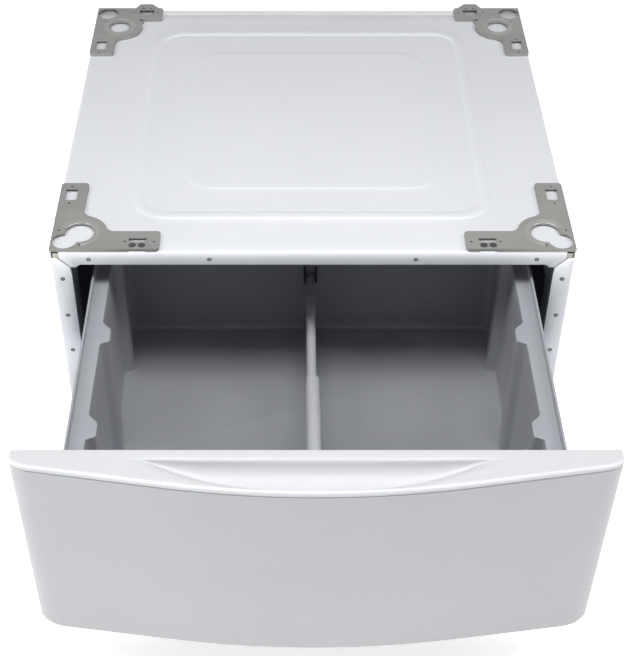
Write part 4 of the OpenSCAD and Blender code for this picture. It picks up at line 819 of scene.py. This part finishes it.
def cap_point(column, row):
    """One vertex of the cap's top: fixed rows behind, shares of the depth, then the rolled edge."""
    x = cap_columns[column]
    reach = cap_reach(x)
    knee = min(KNEE, KNEE_SHARE * (reach - LEAST_REACH))
    if row < len(BACK_ROWS):
        depth = BACK_ROWS[row] * MM * knee / KNEE
    elif row < len(BACK_ROWS) + len(FRONT_SHARES):
        depth = knee + (reach - ROLL - knee) * FRONT_SHARES[row - len(BACK_ROWS)]
    else:
        angle = math.radians(EDGE_ANGLES[row - len(BACK_ROWS) - len(FRONT_SHARES)])
        depth = reach - ROLL * (1 - math.sin(angle))
    _, _, to_edge = edge_finder.find((x, depth, 0))
    height = CAP_TOP_Z - rolled_edge(to_edge, CAP_EDGE_R) - rolled_edge(depth, CAP_BACK_R)
    return Vector((x, FRONT_BACK_Y - depth, height - scoop_sink(x, depth)))


CAP_ROWS = len(BACK_ROWS) + len(FRONT_SHARES) + len(EDGE_ANGLES)
mesh = bent_grid(len(cap_columns), CAP_ROWS, cap_point)
scoop_verts = [vertex for vertex in mesh.verts
               if abs(vertex.co.x) < SCOOP_HALF + SMOOTH_PAST_END
               and vertex.co.y > FRONT_BACK_Y - cap_reach(vertex.co.x) + SMOOTH_SHORT_OF_FRONT
               and vertex.co.y < FRONT_BACK_Y - SMOOTH_SHORT_OF_BACK]
for _ in range(SMOOTHINGS):
    bmesh.ops.smooth_vert(mesh, verts=scoop_verts, factor=0.5, use_axis_z=True)
rim = [edge for edge in mesh.edges if edge.is_boundary]
skirt = bmesh.ops.extrude_edge_only(mesh, edges=rim)["geom"]
for vertex in [item for item in skirt if isinstance(item, bmesh.types.BMVert)]:
    vertex.co.z = GROOVE_TOP_Z
face_towards(mesh, (0.3, FRONT_BACK_Y - 0.02, 1), (0, 0, 1))
cap_skin = make_piece("scooped_cap", mesh, cap_white, "drawer", ["front_cap"], smooth_angle=50)
give_wall(cap_skin, CAP_WALL, even=False)

# ---------------------------------------------------------------- tub
# The tub is one grey polypropylene moulding with a fine grain: a floor with rounded corners, walls
# with pressed ribs, a ledge and a thin rim round it. It hangs on the two rails by its side shelves.
tub_grey = finish_material("tub_grey_plastic", light=(0.36, 0.37, 0.40, 1), shade=(0.34, 0.35, 0.38, 1),
                           rough=0.5, rough_spread=0.06, grain=1400, grain_depth=0.03 * MM)
TUB_WALL = 2.6 * MM
TUB_HALF = 271.5 * MM
TUB_BEHIND_FRONT, TUB_L = 10 * MM, 494 * MM
TUB_FRONT_Y = FRONT_BACK_Y + TUB_BEHIND_FRONT
TUB_BACK_Y = TUB_FRONT_Y + TUB_L
TUB_R = 15 * MM
FLOOR_Z = 106 * MM
LEDGE_Z = 319 * MM
RIM_Z = 330 * MM
RIM_HALF = 290.5 * MM
RIM_FRONT_Y = FRONT_BACK_Y + 2.8 * MM
RIM_BACK_Y = TUB_BACK_Y + 19 * MM
RIM_R = 4 * MM
FLOOR_FILLET = 7 * MM
LEDGE_FILLET = 1.5 * MM
FIRST_RIB, RIB_PITCH, RIB_COUNT = 75 * MM, 167 * MM, 3
RIB_MIDDLES = [TUB_FRONT_Y + FIRST_RIB + RIB_PITCH * index for index in range(RIB_COUNT)]
RIB_IN, RIB_FLAT, RIB_REAR, RIB_FRONT = 12 * MM, 20 * MM, 17 * MM, 7 * MM
REAR_STEPS, FRONT_STEPS, PAST_RIB = 8, 6, 80 * MM


def rib_bulge(y):
    """How far the pressed ribs bring the side wall in at y."""
    bulge = 0
    for middle in RIB_MIDDLES:
        past = abs(y - middle) - RIB_FLAT / 2
        run = RIB_REAR if y > middle else RIB_FRONT
        bulge = max(bulge, RIB_IN * smooth_step(1 - past / run))
    return bulge


def side_stations():
    """Places along a side wall, close together on the ribs' shoulders."""
    ys = [TUB_FRONT_Y + TUB_R, TUB_BACK_Y - TUB_R]
    for middle in RIB_MIDDLES:
        ys += [middle + RIB_FLAT / 2 + RIB_REAR * step / REAR_STEPS for step in range(REAR_STEPS + 1)]
        ys += [middle - RIB_FLAT / 2 - RIB_FRONT * step / FRONT_STEPS for step in range(FRONT_STEPS + 1)]
        ys += [middle, middle + PAST_RIB]
    return sorted(y for y in ys if y <= TUB_BACK_Y - TUB_R)


# Each station of the ring is (kind, x side, y side, value); it runs anticlockwise seen from above
CORNER_STEPS, END_HALF_STEPS = 8, 8
END_STATIONS = [(TUB_HALF - TUB_R) * (1 - step / END_HALF_STEPS) for step in range(2 * END_HALF_STEPS + 1)]


def corner_stations(x_side, y_side, start):
    """The stations inside one rounded corner, which begins at the start angle."""
    return [("corner", x_side, y_side, start + 90 * step / CORNER_STEPS) for step in range(1, CORNER_STEPS)]


ring = [("side", 1, 0, y) for y in side_stations()] + corner_stations(1, 1, 0)
ring += [("end", 0, 1, x) for x in END_STATIONS] + corner_stations(-1, 1, 90)
ring += [("side", -1, 0, y) for y in reversed(side_stations())] + corner_stations(-1, -1, 180)
ring += [("end", 0, -1, -x) for x in END_STATIONS] + corner_stations(1, -1, 270)
ring.append(ring[0])


def ring_point(station, half, front_y, back_y, radius, ribbed):
    """Plan of one station on a rounded rectangle, with the ribs pressed in or not."""
    kind, x_side, y_side, value = station
    if kind == "side":
        return x_side * (half - (rib_bulge(value) if ribbed else 0)), value
    end_y = back_y if y_side > 0 else front_y
    if kind == "end":
        return value, end_y
    angle = math.radians(value)
    return (x_side * (half - radius) + radius * math.cos(angle),
            end_y - y_side * radius + radius * math.sin(angle))


def tub_rows():
    """Rows of the tub's inner skin: (height, inset, on the rim), from the floor up to the rim."""
    rows = []
    for angle in range(0, 91, 15):
        rise, run = 1 - math.cos(math.radians(angle)), 1 - math.sin(math.radians(angle))
        rows.append((FLOOR_Z + FLOOR_FILLET * rise, FLOOR_FILLET * run, False))
    rows += [(FLOOR_Z + height * MM, 0, False) for height in (20, 60, 100, 140, 180)]
    for angle in range(0, 91, 30):
        rise, run = 1 - math.sin(math.radians(angle)), 1 - math.cos(math.radians(angle))
        rows.append((LEDGE_Z - LEDGE_FILLET * rise, -LEDGE_FILLET * run, False))
    for angle in range(0, 91, 30):
        rise, run = 1 - math.cos(math.radians(angle)), 1 - math.sin(math.radians(angle))
        rows.append((LEDGE_Z + LEDGE_FILLET * rise, LEDGE_FILLET * run, True))
    rows.append((RIM_Z, 0, True))
    return rows


TUB_ROWS = tub_rows()


def tub_point(column, row):
    """One vertex of the tub's inner skin."""
    height, inset, on_rim = TUB_ROWS[row]
    if on_rim:
        x, y = ring_point(ring[column], RIM_HALF - inset, RIM_FRONT_Y + inset, RIM_BACK_Y - inset,
                          max(RIM_R - inset, MM), False)
    else:
        x, y = ring_point(ring[column], TUB_HALF - inset, TUB_FRONT_Y + inset, TUB_BACK_Y - inset,
                          TUB_R - inset, True)
    return Vector((x, y, height))


TUB_EDGE_R, TUB_EDGE_ANGLE = 0.5 * MM, 70
mesh = bent_grid(len(ring), len(TUB_ROWS), tub_point)
bmesh.ops.remove_doubles(mesh, verts=mesh.verts, dist=MERGE_WITHIN)
floor_edge = [edge for edge in mesh.edges if edge.is_boundary and edge.verts[0].co.z < FLOOR_Z + 0.1 * MM]
bmesh.ops.contextual_create(mesh, geom=floor_edge)
face_towards(mesh, (0.1, -0.2, FLOOR_Z), (0, 0, 1))
tub_skin = make_piece("ribbed_tub", mesh, tub_grey, "drawer", ["drawer_tub"])
give_wall(tub_skin, TUB_WALL, TUB_EDGE_R, TUB_EDGE_ANGLE)

# A shelf along each side hangs the tub on its rail, with two upright webs behind it
SHELF_Z, SHELF_T, SHELF_HALF, SHELF_END = 231 * MM, 3 * MM, 301.6 * MM, 15 * MM
WEB_T, WEB_H, WEB_SINK = 2 * MM, 22 * MM, 0.5 * MM
SHELF_SINK, SHELF_EDGE_R = 0.4 * MM, 0.4 * MM
mesh = bmesh.new()
for side in (-1, 1):
    xs = sorted((side * (TUB_HALF + TUB_WALL - SHELF_SINK), side * SHELF_HALF))
    rounded_block(mesh, (xs[0], TUB_FRONT_Y + SHELF_END, SHELF_Z),
                  (xs[1], TUB_BACK_Y - SHELF_END, SHELF_Z + SHELF_T), SHELF_EDGE_R)
    for middle in RIB_MIDDLES[:-1]:
        y = middle + RIB_PITCH / 2
        rounded_block(mesh, (xs[0], y, SHELF_Z + SHELF_T - WEB_SINK), (xs[1], y + WEB_T, SHELF_Z + WEB_H),
                      SHELF_EDGE_R)
make_piece("tub_shelves", mesh, tub_grey, "drawer")

# Two pairs of upright guides hold the divider: (half gap, y range, height) behind and in front
GUIDE_T, GUIDE_IN, GUIDE_SINK, GUIDE_EDGE_R = 2 * MM, 8 * MM, 1 * MM, 0.5 * MM
REAR_GUIDE = (6.55 * MM, TUB_BACK_Y - GUIDE_IN, TUB_BACK_Y + GUIDE_SINK, 95 * MM)
FRONT_GUIDE = (9.3 * MM, TUB_FRONT_Y - GUIDE_SINK, TUB_FRONT_Y + GUIDE_IN, 142 * MM)
mesh = bmesh.new()
for half_gap, start_y, end_y, tall in (REAR_GUIDE, FRONT_GUIDE):
    for side in (-1, 1):
        xs = sorted((side * half_gap, side * (half_gap + GUIDE_T)))
        rounded_block(mesh, (xs[0], start_y, FLOOR_Z - GUIDE_SINK),
                      (xs[1], end_y, FLOOR_Z + tall), GUIDE_EDGE_R)
make_piece("divider_guides", mesh, tub_grey, "drawer")

# ---------------------------------------------------------------- divider
# The divider is a lighter, hollow moulding with a full round along its top. It is low and narrow
# behind, steps up halfway, and drops into the guides on the tub's end walls.
divider_grey = finish_material("divider_grey_plastic",
                               light=(0.47, 0.48, 0.505, 1), shade=(0.45, 0.46, 0.485, 1),
                               rough=0.45, rough_spread=0.06, grain=1400, grain_depth=0.03 * MM)
DIVIDER_GAP = 0.3 * MM
DIVIDER_LOW_Z = FLOOR_Z + DIVIDER_GAP
DIVIDER_BACK_Y = TUB_BACK_Y - DIVIDER_GAP
DIVIDER_L = TUB_L - 2 * DIVIDER_GAP
DIVIDER_WALL, DIVIDER_EDGE_R, DIVIDER_EDGE_ANGLE = 1.8 * MM, 0.8 * MM, 60
STEP_AT, STEP_RUN, WIDENING_RUN = 258 * MM, 6 * MM, 8 * MM
DIVIDER_REAR_H, STEP_H, DIVIDER_FRONT_H = 107 * MM, 154 * MM, 200 * MM
DIVIDER_REAR_HALF, DIVIDER_FRONT_HALF = 6.25 * MM, 9 * MM
ROUND_SHARE = 0.96
WALL_SHARES = [0, 0.35, 0.7]
ROUND_STEPS = 12
# Distances in millimetres from the rear end, close together at the step
DIVIDER_RUNS = [0, 3, 20, 60, 110, 160, 210, 240, 250, 253, 255, 256.5, 258, 259.5, 261, 262.5, 264,
                266, 270, 280, 310, 340, 370, 400, 430, 460, 480, 490, 493.4]


def divider_top(run):
    """Height and half width of the divider at a distance from its rear end."""
    if run <= STEP_AT:
        height = DIVIDER_REAR_H
    elif run <= STEP_AT + STEP_RUN:
        height = DIVIDER_REAR_H + (STEP_H - DIVIDER_REAR_H) * (run - STEP_AT) / STEP_RUN
    else:
        past_step = (run - STEP_AT - STEP_RUN) / (DIVIDER_L - STEP_AT - STEP_RUN)
        height = STEP_H + (DIVIDER_FRONT_H - STEP_H) * past_step
    widening = min(max((run - STEP_AT + WIDENING_RUN / 2) / WIDENING_RUN, 0), 1)
    return height, DIVIDER_REAR_HALF + (DIVIDER_FRONT_HALF - DIVIDER_REAR_HALF) * widening


def divider_point(column, row):
    """One vertex of the divider's skin: up the left wall, over the round top, down the right."""
    run = DIVIDER_RUNS[row] * MM
    height, half = divider_top(run)
    shoulder = height - half * ROUND_SHARE
    on_round = column - len(WALL_SHARES)
    if on_round < 0:
        x, z = -half, shoulder * WALL_SHARES[column]
    elif on_round > ROUND_STEPS:
        x, z = half, shoulder * WALL_SHARES[len(WALL_SHARES) + ROUND_STEPS - on_round]
    else:
        angle = math.pi * (1 - on_round / ROUND_STEPS)
        x, z = half * math.cos(angle), shoulder + half * ROUND_SHARE * math.sin(angle)
    return Vector((x, DIVIDER_BACK_Y - run, DIVIDER_LOW_Z + z))


mesh = bent_grid(2 * len(WALL_SHARES) + ROUND_STEPS + 1, len(DIVIDER_RUNS), divider_point)
for end_y in (DIVIDER_BACK_Y, DIVIDER_BACK_Y - DIVIDER_L):
    loop = [edge for edge in mesh.edges if edge.is_boundary
            and all(abs(vertex.co.y - end_y) < 0.1 * MM for vertex in edge.verts)]
    bmesh.ops.contextual_create(mesh, geom=loop)
face_towards(mesh, (0, -0.3, 0.4), (0, 0, 1))
divider_skin = make_piece("round_topped_divider", mesh, divider_grey, "tub_divider", ["divider"])
give_wall(divider_skin, DIVIDER_WALL, DIVIDER_EDGE_R, DIVIDER_EDGE_ANGLE)

# ---------------------------------------------------------------- rubber
# The foot pads and the closing bumpers are black moulded rubber, slightly dusty, pressed or snapped into
# place. The blocks in the divider's rear guides take the same black as painted shade, for the shadow between
# the guide ribs.
black_rubber = finish_material("black_rubber", light=(0.035, 0.035, 0.037, 1), shade=(0.02, 0.02, 0.021, 1),
                               rough=0.75, rough_spread=0.1, grain=800, grain_depth=0.03 * MM)
dress(black_rubber, "front_left_pad", "front_right_pad", "rear_left_pad", "rear_right_pad",
      "closing_bumpers")
# Black blocks in the rear guides: painted shade, for the shadow between the guide ribs
SHADE_BLOCK_INNER, SHADE_BLOCK_OUTER, SHADE_BLOCK_L = 6.65 * MM, 9.6 * MM, 10 * MM
SHADE_BLOCK_FROM_H, SHADE_BLOCK_TO_H, SHADE_BLOCK_EDGE_R = 94 * MM, 119 * MM, 0.8 * MM
mesh = bmesh.new()
for side in (-1, 1):
    xs = sorted((side * SHADE_BLOCK_INNER, side * SHADE_BLOCK_OUTER))
    back_y = TUB_BACK_Y + GUIDE_SINK
    rounded_block(mesh, (xs[0], back_y - SHADE_BLOCK_L, FLOOR_Z + SHADE_BLOCK_FROM_H), (xs[1], back_y, FLOOR_Z + SHADE_BLOCK_TO_H),
                  SHADE_BLOCK_EDGE_R)
make_piece("painted_shade_guide_blocks", mesh, black_rubber, "drawer")
